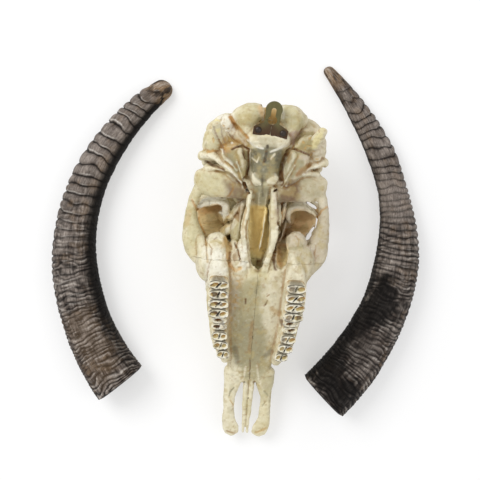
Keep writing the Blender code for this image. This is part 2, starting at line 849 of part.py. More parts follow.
def main():
    clear_scene()
    bones = new_collection("roan_antelope_skull")
    helpers = new_collection("cutters")
    skull = fused_skull(bones, helpers)
    part_nasals(skull, bones, helpers)
    hanger(skull, bones, helpers)
    part_bones(skull, bones, helpers)
    for side, word in ((-1, "left"), (1, "right")):
        set_teeth(bpy.data.objects[f"maxilla_{word}"], side, helpers)
    pose = skull_pose()
    for obj in bones.objects:
        obj.parent = pose
    bpy.context.view_layer.update()
    low = (-FLOOR_HALF, -FLOOR_HALF, -FLOOR_DEEP)
    floor = box("floor", low, (FLOOR_HALF, FLOOR_HALF, 0), helpers)
    for name in ("nasals", "frontal"):
        boolean(bpy.data.objects[name], floor, "DIFFERENCE")
        largest_surface(bpy.data.objects[name])
    for name, horn in HORNS.items():
        sheath(name, horn, bones)
    for helper in list(helpers.objects):
        bpy.data.objects.remove(helper)
    bpy.data.collections.remove(helpers)
    finish(bones)


main()
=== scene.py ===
# %% [markdown]
# # The skull of a young roan antelope
# The skull lies palate up with its two horn sheaths beside it, as a museum photographs one.
# This lesson dresses a imported model: the imported model says where everything is, and each cell
# below makes one bone, tooth, horn or finish at that place. The frame comes first.

# %% Load the frame
import math

import bmesh
import bpy
import numpy as np
from mathutils import Matrix, Vector
from mathutils.bvhtree import BVHTree


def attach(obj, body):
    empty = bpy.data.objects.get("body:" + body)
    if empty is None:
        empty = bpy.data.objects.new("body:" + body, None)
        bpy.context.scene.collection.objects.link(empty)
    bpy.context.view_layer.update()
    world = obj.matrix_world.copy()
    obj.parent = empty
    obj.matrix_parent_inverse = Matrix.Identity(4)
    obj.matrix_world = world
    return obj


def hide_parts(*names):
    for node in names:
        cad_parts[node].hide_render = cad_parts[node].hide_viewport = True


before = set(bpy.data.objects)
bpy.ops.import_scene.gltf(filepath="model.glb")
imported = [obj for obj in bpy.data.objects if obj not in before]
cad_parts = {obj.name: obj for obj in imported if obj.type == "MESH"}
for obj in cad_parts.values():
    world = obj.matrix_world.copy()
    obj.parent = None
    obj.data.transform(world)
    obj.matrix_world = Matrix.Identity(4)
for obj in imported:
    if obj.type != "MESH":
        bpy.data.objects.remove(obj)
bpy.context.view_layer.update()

MM = 0.001
SIDES = ((-1, "left"), (1, "right"))
print("frame:", sorted(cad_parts))

# %% [markdown]
# ## How the skull lies
# A skull is easiest to shape in its own frame: x out from the midline, y back from the front of
# the nose, z up from the palate, all in millimetres. One matrix then lays it on the floor, pitched
# up at the back because it rests on its horn cores and the tips of its nasal bones.

# %% Pose of the skull
PITCH, ROLL, YAW = (math.radians(a) for a in (20.0, 2.5, -4.2))
PLACE = Vector((11.4, -235.7, 24.8))
POSE = (
    Matrix.Translation(PLACE)
    @ Matrix.Rotation(YAW, 4, "Z")
    @ Matrix.Rotation(PITCH, 4, "X")
    @ Matrix.Rotation(ROLL, 4, "Y")
)
TURN = np.array(POSE.to_3x3())
SHIFT = np.array(PLACE)


def to_world(points):
    """Skull millimetres to world metres: turned by the pose, then moved to its place."""
    return (points @ TURN.T + SHIFT) * MM


def to_skull(points):
    """World metres back to skull millimetres, by the transposed turn."""
    return (points / MM - SHIFT) @ TURN


print("origin of the skull's frame:", to_world(np.zeros(3)).round(3), "m")

# %% [markdown]
# ## Surfaces from numbers
# Every bone starts as a few closed skins. A skin is a grid: one parameter runs along the bone,
# the other runs round it. Along the bone a Catmull-Rom curve joins a handful of listed
# stations, so a cheek bar is ten stations and not two thousand points. Round it runs an oval
# whose squareness can be set. Subdivision modelling would give the same forms, but the grid
# keeps each size named and easy to correct.

# %% Grid helpers
PER_SPAN = 7
HULL_SIDES = 44
BALL_ROWS, BALL_SIDES, BALL_POLE = 24, 36, 88
DOME_STEPS = (85, 65, 45, 25)


def through(stations, per_span=PER_SPAN):
    """Rows between stations, on the cubic that passes each one with the slope of its neighbours."""
    rows = np.array(stations, float)
    p = np.vstack([2 * rows[0] - rows[1], rows, 2 * rows[-1] - rows[-2]])
    t = (np.arange(per_span) / per_span)[:, None]
    spans = []
    for a, b, c, d in zip(p, p[1:], p[2:], p[3:]):
        cubic = (3 * b - a - 3 * c + d) * t**3
        spans.append((2 * b + (c - a) * t + (2 * a - 5 * b + 4 * c - d) * t**2 + cubic) / 2)
    return np.vstack(spans + [rows[-1:]])


def circle(sides):
    """So many angles, evenly round a circle."""
    return np.linspace(0, 2 * math.pi, sides, endpoint=False)


def oval(sides, square):
    """Unit oval: the cosine and sine of each angle, raised to 2 / squareness with their signs kept."""
    turn = circle(sides)
    c, s = np.cos(turn), np.sin(turn)
    return np.sign(c) * abs(c) ** (2 / square), np.sign(s) * abs(s) ** (2 / square)


def unit(v):
    """A vector's direction: the vector over its length."""
    return v / np.linalg.norm(v, axis=-1, keepdims=True)


def tube(stations, side=1, up=(0, 0, 1), square=2.0, sides=32, per_span=PER_SPAN):
    """A bar with domed ends. Ring point = centre + wide * half width * cos + high * half height * sin."""
    rows = through(stations, per_span)
    centre = rows[:, :3] * (side, 1, 1)
    ahead = unit(np.gradient(centre, axis=0))
    wide = unit(np.cross(ahead, up))
    high = np.cross(wide, ahead)
    c, s = oval(sides, square)
    w, h = rows[:, 3, None, None], rows[:, 4, None, None]
    rings = centre[:, None] + wide[:, None] * w * c[:, None] + high[:, None] * h * s[:, None]
    dome = np.radians(DOME_STEPS)[:, None, None]
    ends = []
    for k, sign in ((0, -1), (-1, 1)):
        reach = rows[k, 3:5].min() * sign
        ends.append(centre[k] + (rings[k] - centre[k]) * np.cos(dome) + ahead[k] * reach * np.sin(dome))
    return np.concatenate([ends[0], rings, ends[1][::-1]])


def hull(stations, square=2.6):
    """A body across the midline: at each y an oval whose half width runs from below to above."""
    y, wide_up, wide_down, z_up, z_down = through(stations).T[:, :, None]
    c, s = oval(HULL_SIDES, square)
    rise = (s + 1) / 2
    x = c * (wide_down + (wide_up - wide_down) * rise)
    return np.stack([x, y + 0 * x, z_down + (z_up - z_down) * rise], axis=-1)


def ball(centre, half, side=1, turn=0.0):
    """An ellipsoid turned about z: half sizes times the sines and cosines of latitude and longitude."""
    lat = np.radians(np.linspace(-BALL_POLE, BALL_POLE, BALL_ROWS))[:, None]
    lon = circle(BALL_SIDES)
    x, y, z = np.cos(lat) * np.cos(lon), np.cos(lat) * np.sin(lon), np.sin(lat) + 0 * lon
    a, b, c = half
    t = math.radians(turn)
    x, y = x * a * math.cos(t) - y * b * math.sin(t), x * a * math.sin(t) + y * b * math.cos(t)
    return (np.stack([x, y, z * c], axis=-1) + centre) * (side, 1, 1)


def both(make, *args, **kwargs):
    """The same skin on the left and on the right."""
    return [make(*args, side=side, **kwargs) for side, _ in SIDES]


print("rows along a bar of ten stations:", len(through(np.zeros((10, 5)))))

# %% [markdown]
# A grid becomes a mesh by numbering its points row by row: each cell is a face, and each end is
# closed with a point in its middle. Many skins are joined into one mesh before they are fused.

# %% From grids to meshes
def skin_arrays(rings):
    """Points, quads and end triangles of a stack of closed rings."""
    rows, sides = rings.shape[:2]
    points = np.vstack([rings.reshape(-1, 3), rings[0].mean(axis=0), rings[-1].mean(axis=0)])
    grid = np.arange(rows * sides).reshape(rows, sides)
    following = np.roll(grid, -1, axis=1)
    quads = np.stack([grid[:-1], following[:-1], following[1:], grid[1:]], axis=-1).reshape(-1, 4)
    first = np.stack([following[0], grid[0], np.full(sides, rows * sides)], axis=-1)
    last = np.stack([grid[-1], following[-1], np.full(sides, rows * sides + 1)], axis=-1)
    return points, quads, np.vstack([first, last])


def mesh_from(name, points, *faces):
    """A mesh of points and of arrays of faces, each row of them the numbers of its points."""
    mesh = bpy.data.meshes.new(name)
    mesh.from_pydata(points.tolist(), [], [f for group in faces for f in group.tolist()])
    mesh.update()
    return mesh


def object_from(name, mesh):
    """An object that shows the mesh, at the origin of the scene."""
    obj = bpy.data.objects.new(name, mesh)
    bpy.context.scene.collection.objects.link(obj)
    return obj


def face_outwards(mesh):
    """Turns the faces of closed skins so that all of them point out."""
    fix = bmesh.new()
    fix.from_mesh(mesh)
    bmesh.ops.recalc_face_normals(fix, faces=fix.faces)
    fix.to_mesh(mesh)
    fix.free()


def object_of_skins(name, skins):
    """Many skins as one mesh: each skin's faces count on from the points of those before it."""
    points, quads, ends, count = [], [], [], 0
    for rings in skins:
        p, q, e = skin_arrays(rings)
        points.append(p)
        quads.append(q + count)
        ends.append(e + count)
        count += len(p)
    obj = object_from(name, mesh_from(name, np.vstack(points), np.vstack(quads), np.vstack(ends)))
    face_outwards(obj.data)
    return obj


def bake_modifiers(obj):
    """Makes what the modifiers show the object's own mesh."""
    graph = bpy.context.evaluated_depsgraph_get()
    baked = bpy.data.meshes.new_from_object(obj.evaluated_get(graph))
    obj.modifiers.clear()
    obj.data = baked


def fuse(obj, grain, rounds=1):
    """One skin over all the skins of an object, on a grid of cubes of the given grain."""
    remesh = obj.modifiers.new("fuse", "REMESH")
    remesh.mode = "VOXEL"
    remesh.voxel_size = grain
    if rounds:
        soften = obj.modifiers.new("soften", "SMOOTH")
        soften.factor = 0.5
        soften.iterations = rounds
    bake_modifiers(obj)


def cut(obj, other, operation):
    """Boolean of two closed meshes, by the solver that is quick on dense ones; the other is removed."""
    step = obj.modifiers.new("cut", "BOOLEAN")
    step.operation = operation
    step.solver = "MANIFOLD"
    step.object = other
    bake_modifiers(obj)
    bpy.data.objects.remove(other)


def points_of(mesh, what="co"):
    """A row of three numbers for each vertex: its place, or with "normal" which way it faces."""
    flat = np.empty(len(mesh.vertices) * 3)
    mesh.vertices.foreach_get(what, flat)
    return flat.reshape(-1, 3)


def set_points(mesh, points):
    """Moves every vertex to its row."""
    mesh.vertices.foreach_set("co", points.ravel())
    mesh.update()


def triangles(obj):
    """How many triangles a piece has: a face of n corners is n - 2 of them."""
    return sum(len(face.vertices) - 2 for face in obj.data.polygons)


print("points of a test ball:", len(skin_arrays(ball((0, 0, 0), (1, 1, 1)))[0]))

# %% [markdown]
# ## The braincase and the ear
# The back of the skull is a rounded box. On its underside are the flat floor of the braincase,
# a swelling under each ear, the two condyles on which the head nods, and a pointed process
# beside each of them. Each is a skin of its own here, sunk deep into its neighbours.

# %% Skins of the braincase
braincase = [
    ball((0, 330, -66), (42, 58, 34)),
    hull((
        (240, 30, 44, -70, -108),
        (262, 34, 60, -86, -114),
        (284, 38, 56, -80, -116),
        (306, 42, 44, -56, -108),
        (338, 44, 42, -40, -98),
        (364, 52, 37, -36, -91),
        (382, 46, 32, -38, -85),
    )),
    hull((
        (292, 3, 14, -31, -50),
        (310, 8, 18, -28, -52),
        (332, 15, 22, -24, -54),
        (346, 16, 22, -26, -56),
        (360, 17.5, 26, -26.5, -58),
        (370, 22, 30, -27, -60),
        (375, 25.5, 30, -25.5, -60),
        (383, 25, 30, -28, -62),
        (391, 21, 26, -32, -62),
    ), square=3.0),
]
# Tubercles in front of the floor, then the temple plates that carry the jaw joint.
braincase += both(ball, (9, 331, -26.6), (6.2, 9, 4.6), turn=-14)
braincase += both(tube, (
    (8, 316, -40, 13, 9),
    (26, 316, -36, 13, 8.5),
    (44, 320, -36, 16.5, 8.5),
    (58, 321, -38, 18, 8.5),
    (70, 319, -42, 15, 8),
), square=2.8)
# The ridge behind the jaw joint, and the swelling under the ear.
braincase += both(tube, (
    (30, 334, -33, 3.4, 7),
    (42, 338, -31, 3.6, 8),
    (54, 340, -33, 3.4, 7),
    (64, 338, -36, 3.0, 5),
))
braincase += both(tube, (
    (40, 360, -35, 12, 12),
    (37.5, 346, -31, 12, 13),
    (30, 332, -32, 8, 9),
    (24, 322, -36, 4.5, 6),
), square=2.3)
braincase += both(tube, ((33, 352, -26, 1.6, 9), (27, 338, -26, 1.4, 9), (22, 324, -31, 1.2, 6)))
# Tubes of the ear, and the spongy bone behind them.
braincase += both(tube, ((40, 354, -40, 9, 9), (56, 352, -40, 6.4, 7), (69, 351, -42, 4.8, 5.4)))
braincase += both(ball, (72.5, 350.5, -42), (4.2, 5.6, 5.8))
braincase += both(tube, ((34, 343, -52, 12, 11), (54, 342, -54, 10, 9), (66, 341, -53, 6, 7)))
for centre, half in (
    ((60, 367, -50), (12, 15, 20)),
    ((67, 362, -46), (5.5, 7.5, 7)),
    ((66.5, 374, -50), (5, 6, 9)),
    ((61, 358, -36), (5, 4, 5)),
    ((66, 368, -38), (4, 4, 5)),
    ((58, 371, -35), (3.5, 5, 4)),
    ((64, 379, -42), (4, 4, 5)),
    ((44, 378, -60), (17, 16, 16)),
):
    braincase += both(ball, centre, half)
braincase += both(tube, (
    (36, 388, -66, 9, 11),
    (50, 387, -66, 9, 11),
    (61, 379, -60, 9, 12),
))
# Processes beside the condyles, flattened like blades.
braincase += both(tube, (
    (47, 364, -42, 9, 6),
    (52, 374, -30, 7.5, 4.2),
    (57.5, 388, -17.5, 6.4, 3.4),
    (60.5, 396.5, -11, 4.8, 3.0),
), square=2.3)
braincase += both(tube, ((50, 372, -36, 2.2, 8), (56, 386, -22, 2.0, 6), (60, 395, -13, 1.8, 4)))
# Condyles: wedges that run out and forwards from the hole for the spinal cord.
braincase += both(tube, (
    (13.5, 404.5, -53, 9, 13),
    (25, 403, -49.5, 11, 14.5),
    (35.5, 398, -53, 9, 13),
), square=2.6)
braincase += both(tube, ((27, 378, -46, 6, 9), (26, 386, -45, 10, 12), (26, 396, -48, 14, 14.5)), square=2.3)
braincase.append(ball((0, 390, -77), (22, 15, 9)))
print("braincase:", len(braincase), "skins")

# %% [markdown]
# ## The eye sockets and cheeks
# Each eye sat in a bowl: the forehead bone makes its roof, which is the brown floor we look down
# on, a bright crescent closes it behind, and the broad cheek bone swings round outside it. Inside
# run two walls that hold the inner nostrils, with a deep pit on the outer side of each.

# %% Skins of the sockets and cheeks
sockets = [
    hull((
        (216, 34, 44, -30, -98),
        (236, 20, 38, -36, -104),
        (258, 15, 30, -38, -106),
        (280, 16, 30, -36, -106),
        (300, 18, 34, -36, -100),
    ), square=2.2),
]
# Roof of the socket, the wall before it, and the thin-walled swelling behind the last tooth.
sockets += both(tube, (
    (52, 228, -96, 20, 7),
    (55, 246, -98, 21.5, 7),
    (57, 264, -100, 20.5, 7),
    (57, 282, -96, 18, 8),
), square=3)
sockets += both(tube, (
    (60, 240, -40, 16, 7),
    (58, 241, -60, 17, 7),
    (57, 243, -80, 18, 7),
    (56, 246, -96, 18, 7),
), up=(0, 1, 0), square=2.6)
sockets += both(tube, (
    (47, 226, -14, 12, 11),
    (47, 236, -19, 14, 12),
    (47.5, 246, -25, 14.5, 12),
    (47.5, 251, -30, 12, 10),
))
# The outer foot of the bar behind the socket, and the cheek bone.
sockets += both(tube, (
    (80, 277, -50, 6, 6.5),
    (77.5, 280, -62, 6, 6.5),
    (71, 284, -71, 9, 7),
    (60, 288, -80, 12, 7),
), up=(0, 1, 0))
sockets += both(tube, (
    (52, 194, -20, 8, 11),
    (54, 211, -24, 8, 12),
    (61, 224, -30, 11, 13),
    (72, 237, -35, 13, 12),
    (76, 253, -39, 12, 11),
    (79, 270, -42, 8, 10),
    (79, 286, -44, 6.5, 9),
    (76, 301, -43, 6, 8),
    (69, 319, -41, 6.5, 7.5),
    (61, 335, -39, 8, 7.5),
), square=2.4)
# Ridges on the wall between the sockets.
sockets += both(tube, ((26, 246, -52, 2.6, 8), (31, 258, -62, 2.4, 8), (36, 272, -72, 2.4, 6)))
sockets += both(tube, (
    (22, 232, -38, 3, 8),
    (24, 252, -44, 2.4, 8),
    (23, 276, -44, 2.4, 6),
    (21, 296, -38, 3, 5),
))
print("sockets:", len(sockets), "skins")

# %% [markdown]
# ## The face
# The upper jaws are one long wedge with a ridge down each side for the cheek teeth. In front of
# them the premaxillae reach out as two flat prongs, with slits on either side of two thin bars.

# %% Skins of the face
face = [
    hull((
        (76, 30.5, 15, -6, -53),
        (92, 31, 17, -3, -56),
        (108, 33, 20, -1.5, -61),
        (130, 39, 23, -1.5, -69),
        (165, 49, 29, -1.5, -81),
        (200, 54, 36, -2, -93),
        (228, 54, 46, -8, -103),
        (240, 48, 48, -24, -104),
    ), square=3),
]
face += both(tube, (
    (31, 108, -6, 6, 6),
    (35, 122, -3, 8.5, 8),
    (39, 137, -2.5, 11, 8),
    (42, 160, -2.5, 12, 8),
    (44.7, 184, -2.5, 13.5, 8),
    (45.3, 208, -3, 13.2, 8),
    (45, 228, -9, 11, 9),
), square=2.6)
face += both(tube, (
    (13.5, 4, -6, 7, 2.4),
    (18, 11, -6, 10, 2.8),
    (22.2, 24, -6.5, 8, 3.4),
    (22.4, 41, -8, 6.6, 4.2),
    (22.3, 56, -10, 7, 5.2),
    (20.2, 72, -12, 10.6, 6.5),
    (19, 88, -13, 12.6, 8),
), square=2.6)
face += both(tube, (
    (27, 40, -11, 2.6, 4),
    (27, 60, -19, 2.8, 8),
    (25, 82, -30, 3, 11),
    (22.5, 104, -44, 3, 10),
    (21, 118, -52, 3, 7),
))
face += both(tube, (
    (2.6, 6, -6.5, 1.6, 2),
    (2.6, 20, -7, 2.1, 2.4),
    (3.0, 40, -8, 2.7, 3),
    (3.4, 60, -9, 3.1, 4),
    (3.8, 84, -10, 3.4, 6),
))
# What is left of the horn cores, sawn level with the floor.
face += both(tube, (
    (30, 268, -98, 20, 23),
    (33, 276, -118, 19, 22),
    (37, 290, -150, 17, 20),
), up=(0, 1, 0))
print("face:", len(face), "skins")

# %% [markdown]
# ## Where the camera looks from
# The photograph looks straight down, from 1.2 m by guess. Its camera comes early here, as
# the two sides of a real skull differ, and such a form is placed by the pixel where it shows and
# by its height in the skull. A ray through the pixel meets that height at one point.

# %% Camera, and points on its rays
EYE = np.array((5.6, 13.2, 1200.0))
PIXEL = 1.28
FRAME = 480
camera_data = bpy.data.cameras.new("camera")
camera_data.sensor_width = 36
camera_data.lens = camera_data.sensor_width * EYE[2] / (FRAME * PIXEL)
camera = object_from("camera", camera_data)
camera.location = Vector(EYE) * MM
bpy.context.scene.camera = camera


def to_photo(world):
    """World millimetres to pixels: the offset from the camera's axis, spread by the distance."""
    away = PIXEL * (1 - world[:, 2] / EYE[2])
    px = FRAME / 2 + (world[:, 0] - EYE[0]) / away
    return np.stack([px, FRAME / 2 - (world[:, 1] - EYE[1]) / away], axis=-1)


def floor_under(px, py):
    """The point of the floor that shows at a pixel, in millimetres: to_photo undone at z = 0."""
    return np.array(((px - FRAME / 2) * PIXEL + EYE[0], (FRAME / 2 - py) * PIXEL + EYE[1], 0))


def seen(px, py, height):
    """The skull point on the ray through a pixel whose z in the skull's frame is the given height."""
    start, stop = to_skull(np.array([EYE, floor_under(px, py)]) * MM)
    share = (height - start[2]) / (stop[2] - start[2])
    return start + (stop - start) * share


def seen_tube(*stations, **shape):
    """A bar whose stations are px, py, height, half width and half height."""
    return tube([(*seen(*row[:3]), *row[3:]) for row in stations], **shape)


def seen_ball(px, py, height, half):
    """An ellipsoid on the ray through a pixel."""
    return ball(seen(px, py, height), half)


print("camera lens:", round(camera_data.lens, 1), "mm")

# %% [markdown]
# ## What differs from side to side
# These are the walls of the inner nostrils, the bars behind the eye sockets, which hook in like
# crescents, the bubbles of thin bone behind the tooth rows, and the parts of the ear.

# %% Forms of the left and of the right
left_forms = {
    "wall of the inner nostril": seen_tube(
        (250.5, 192, -24, 2.4, 6), (249, 200, -22, 2.2, 8), (247.8, 208, -21, 2.2, 10),
        (245.4, 218, -20.5, 2.4, 11.5), (243.8, 230, -19, 2.8, 12), (244.5, 241, -18, 3.4, 12.5),
        (246, 252, -17.5, 4, 13), (247, 262, -18, 4.4, 13), (249, 272, -19.5, 5, 13), (251, 282, -21, 4, 12),
        square=3.2),
    "second fold of that wall": seen_tube(
        (248.6, 206, -30, 1.4, 8), (248, 220, -29, 1.5, 9), (247.4, 234, -27, 1.6, 10),
        (249, 246, -26, 1.4, 9)),
    "its broad root": seen_tube(
        (242, 242, -21, 4, 10), (241, 252, -16, 7, 12), (240, 263, -14, 8.5, 12), (241, 275, -15, 9, 11),
        square=3),
    "crescent behind the socket": seen_tube(
        (198.5, 207, -60, 1.2, 9), (201.5, 203, -58, 3.2, 12), (208, 201.2, -57, 4.2, 12),
        (215, 200.4, -57, 3.2, 12), (221, 200.6, -57, 3.2, 12), (225.6, 203.5, -57, 4.4, 12),
        (226.2, 209, -58, 4.4, 11), (225, 214, -59, 3.0, 10), (224, 218, -61, 1.2, 8), square=3.6),
    "spur of the crescent": seen_ball(220.5, 212.5, -60, (2.4, 1.6, 5)),
    "swelling behind the tooth row": seen_ball(217, 246, -27, (14.5, 17.5, 13.5)),
    "face beside the tooth row": seen_ball(208, 262, -22, (15, 24, 16)),
    "ridge to the cheek": seen_tube((201, 239, -33, 5, 8), (203, 247, -25, 7, 9), (205, 256, -19, 10, 10)),
    "wall between socket and nostril": seen_tube(
        (240, 212, -57, 5, 9), (238, 222, -52, 6.5, 12), (236.5, 234, -48, 7, 12), (236, 246, -40, 6, 12)),
    "floor of the pit": seen_tube((234, 244, -30, 6, 9), (234, 256, -24, 6, 9), (234, 266, -20, 6, 9)),
    "bridge at the small hole": seen_tube(
        (220, 233, -80, 4, 9), (226, 230, -70, 5, 11), (231, 226, -58, 5, 11)),
    "upper ridge": seen_tube((231, 215, -56, 4, 10), (237, 208, -52, 3.4, 9), (245, 202, -44, 3.2, 8)),
    "swelling under the ear": seen_tube(
        (240, 152, -28, 5, 9), (242, 162, -28, 5.5, 10), (241.5, 172, -29, 4.5, 9), (243, 181, -31, 3, 6)),
    "bar of the ear": seen_tube(
        (203, 155, -37, 4.4, 6), (209, 154.5, -35, 4.6, 6.5), (215, 157, -31, 4, 6.5), (222, 163, -27, 3, 6),
        (229, 169, -26, 2, 5.5), (236, 176, -26, 1.6, 4.5), (241, 182, -27, 1.2, 3)),
    "crest on the swelling": seen_tube(
        (221.5, 149, -28, 1.6, 6), (224, 156, -25, 2.2, 6), (231, 163, -22, 2.2, 5), (237, 170, -21, 1.6, 4)),
    "back of the head": seen_ball(227, 123, -52, (8, 12, 12)),
    "shelf behind the crack": seen_tube((224, 136, -40, 5, 7), (232, 143, -38, 4, 7), (238, 146, -36, 4, 8)),
}
right_forms = {
    "wall of the inner nostril": seen_tube(
        (273.5, 190, -25, 3, 6), (273.4, 200, -24, 3.4, 8), (273.4, 210, -24, 4.6, 10),
        (274, 220, -23.5, 5.6, 12), (273.5, 232, -21.5, 5.2, 12.5), (271.5, 242, -19.5, 4.4, 12.5),
        (269, 252, -18, 3.8, 13), (266, 262, -17.5, 4.0, 13), (263, 272, -19, 5, 13),
        (261, 282, -20.5, 4, 12),
        square=4),
    "pale edge of that wall": seen_tube(
        (268.6, 206, -22, 1.3, 8), (268.4, 220, -19, 1.4, 9), (268, 234, -15, 1.5, 9),
        (266.8, 248, -12, 1.5, 9), (264, 260, -11, 1.3, 8)),
    "crescent behind the socket": seen_tube(
        (289.5, 221, -62, 1.4, 7), (287.4, 215, -61, 3.0, 10), (289.5, 208.5, -60, 3.8, 12),
        (295, 205.6, -59, 4.2, 12), (303, 206, -58, 4.0, 12), (310, 209.5, -56, 2.8, 10),
        (316, 215, -54, 1.8, 8), square=3.6),
    "swelling behind the tooth row": seen_ball(295.5, 245, -28, (14, 16.5, 13.5)),
    "face beside the tooth row": seen_ball(303, 264, -24, (14, 24, 15)),
    "ridge to the cheek": seen_tube((311, 247, -33, 5, 8), (307, 253, -27, 8, 9), (303, 262, -20, 9, 10)),
    "plate in front of the ear hole": seen_tube(
        (278, 208, -40, 3.4, 8), (278.5, 216, -36, 3.4, 9), (279, 223, -40, 2.4, 7)),
    "inner end of the crescent": seen_tube(
        (284, 204, -52, 3, 9), (283, 212, -50, 2.6, 9), (282, 219, -54, 2.2, 8)),
    "swelling under the ear": seen_tube(
        (294, 155, -29, 5, 9), (289.5, 165, -28, 5, 10), (287.5, 175, -28, 4.4, 9), (286, 184, -30, 2.6, 6)),
    "bar of the ear": seen_tube(
        (322, 163.5, -40, 5, 6), (316, 165, -37, 3.6, 6), (309, 167, -33, 3, 6), (303, 172, -29, 2.4, 5.5),
        (298, 179, -28, 1.6, 4)),
    "web beside the condyle": seen_tube(
        (299, 147, -34, 5, 6), (305, 143.5, -32, 8, 6), (311, 141, -28, 7, 5), square=3),
}
inner_forms = {
    "blade between the inner nostrils": seen_tube(
        (265.5, 208, -31, 1.3, 8), (264, 220, -29, 1.5, 9), (262, 234, -27, 1.5, 9),
        (258.8, 250, -26, 1.3, 8)),
}
print("forms:", len(left_forms), "left,", len(right_forms), "right,", len(inner_forms), "between")

# %% [markdown]
# ## Hollows
# Openings are easier to take away than to build round: the nose, the wedge of the inner
# nostrils, the pits beside it, the grooves beside the floor of the braincase, and the hole for
# the spinal cord are skins that get subtracted.

# %% Skins that are taken away
hollows = [
    hull((
        (30, 19, 12, -10, -50),
        (70, 21, 11, -12, -48),
        (95, 22, 13, -11, -50),
        (120, 24, 15, -12, -58),
        (150, 20, 15, -16, -60),
    ), square=2.4),
    hull((
        (190, 9, 8, -12, -30),
        (225, 9.5, 9, -9, -34),
        (270, 11, 11, -8, -38),
        (318, 9, 7, -8, -27),
    ), square=3),
    hull((
        (226, 1.2, 1.2, 12, -24),
        (236, 5.6, 5.6, 12, -24),
        (247, 10, 10, 12, -24),
        (264, 12.8, 12, 12, -24),
        (288, 12.4, 11, 12, -24),
        (306, 11, 10, 12, -24),
        (320, 9, 8, 12, -24),
    ), square=4),
    tube(((0, 436, -52, 13, 13), (0, 404, -53, 13, 13), (0, 368, -56, 13, 13))),
    tube(((0, 436, -40, 8, 16), (0, 410, -40, 8, 16), (0, 398, -42, 6, 12))),
    tube(((0, 96, 14, 10, 14), (0, 130, 14, 22, 15.5), (0, 190, 14, 30, 16.5), (0, 222, 14, 26, 15))),
]
# The pit beside the inner nostril is deep on the right and shallow on the left.
hollows.append(tube((
    (28, 236, 14, 7.5, 12),
    (28, 238, -4, 7.5, 14),
    (29, 244, -22, 7, 13),
    (30, 252, -38, 6, 10),
), up=(0, 1, 0)))
hollows.append(tube((
    (28, 238, 14, 6.5, 11),
    (28, 240, -2, 6.5, 12),
    (28.5, 243, -12, 6, 11),
), side=-1, up=(0, 1, 0)))
hollows += both(tube, (
    (21.5, 366, -20, 1.5, 9),
    (20.5, 350, -20, 1.5, 10),
    (19, 334, -20, 1.5, 10),
    (18.5, 318, -22, 1.5, 9),
))
gaps = {
    "behind the right crescent": seen_tube(
        (311.5, 205.2, -30, 8.5, 2.3), (311.5, 205.2, -125, 8.5, 2.3), up=(0.47, 0.88, 0)),
    "inside the right cheek bar": seen_tube(
        (311, 231.5, -30, 10, 1.7), (311, 231.5, -125, 10, 1.7), up=(-0.86, 0.51, 0)),
    "its wide end": seen_tube(
        (308.4, 236.6, -30, 6, 2.9), (308.4, 236.6, -125, 6, 2.9), up=(-0.86, 0.51, 0)),
    "hole beside the left socket": seen_tube(
        (228.4, 222.4, -40, 2.0, 2.2), (229.5, 222.6, -74, 2.0, 2.2), up=(0, 1, 0)),
    "hole in the left pit": seen_tube(
        (239.3, 259.5, -5, 1.2, 1.8), (239.5, 260.5, -34, 1.2, 1.8), up=(0, 1, 0)),
    "left hole of the braincase": seen_tube(
        (244, 184, -20, 1.6, 4), (246.5, 187.5, -44, 1.6, 5), up=(0, 1, 0)),
    "right hole of the braincase": seen_tube(
        (275.4, 190.6, -20, 1.8, 1.4), (275.4, 190.6, -40, 1.8, 1.4), up=(0, 1, 0)),
}
print("hollows:", len(hollows), "skins, and", len(gaps), "seen from the camera")

# %% [markdown]
# ## Not quite even
# No skull is the same on both sides. Behind the teeth this one stands wider on its left, and its
# back bends a little to the right. Both are small moves of the points, done after the fusing.

# %% Lean and bend
LEAN, LEAN_SPAN = 0.04, (200.0, 250.0)
BEND, BEND_SPAN = 4.0, (290.0, 410.0)


def uneven(points):
    """Each side moves left by a share of |x| behind the teeth, and the back right by a square law."""
    x, y, z = points.T
    wider = LEAN * np.interp(y, LEAN_SPAN, (0, 1))
    back = np.maximum((y - BEND_SPAN[0]) / (BEND_SPAN[1] - BEND_SPAN[0]), 0)
    return np.stack([x + BEND * back**2 - wider * abs(x), y, z], axis=-1)


GRAIN = 1.1
skull = object_of_skins("skull", braincase + sockets + face)
fuse(skull, GRAIN, rounds=0)
set_points(skull.data, uneven(points_of(skull.data)))
hollow = object_of_skins("hollow", hollows)
fuse(hollow, GRAIN, rounds=0)
set_points(hollow.data, uneven(points_of(hollow.data)))
steps = (
    ("UNION", object_of_skins("forms", [*left_forms.values(), *right_forms.values()])),
    ("DIFFERENCE", hollow),
    ("UNION", object_of_skins("inner", list(inner_forms.values()))),
    ("DIFFERENCE", object_of_skins("gaps", list(gaps.values()))),
)
for operation, other in steps:
    if other is not hollow:
        fuse(other, GRAIN / 2, rounds=0)
    cut(skull, other, operation)
fuse(skull, GRAIN)
print("fused skull:", len(skull.data.polygons), "faces")

# %% [markdown]
# ## Marks dropped from the camera
# A crack seen at some pixel is dropped down the ray through that pixel until it meets bone, so
# it lies on the bone and stays there when the skull is seen from the side.

# %% Dropping a mark
skull_faces = [tuple(face.vertices) for face in skull.data.polygons]
bone_tree = BVHTree.FromPolygons((to_world(points_of(skull.data)) / MM).tolist(), skull_faces)


def drop(px, py):
    """Height in millimetres of the first bone on the camera's ray through a pixel, or of the floor."""
    ray = Vector(floor_under(px, py)) - Vector(EYE)
    hit = bone_tree.ray_cast(Vector(EYE), ray.normalized())
    return hit[0].z if hit[0] else 0.0


print("height at the back of the palate:", round(drop(250, 300), 1), "mm")
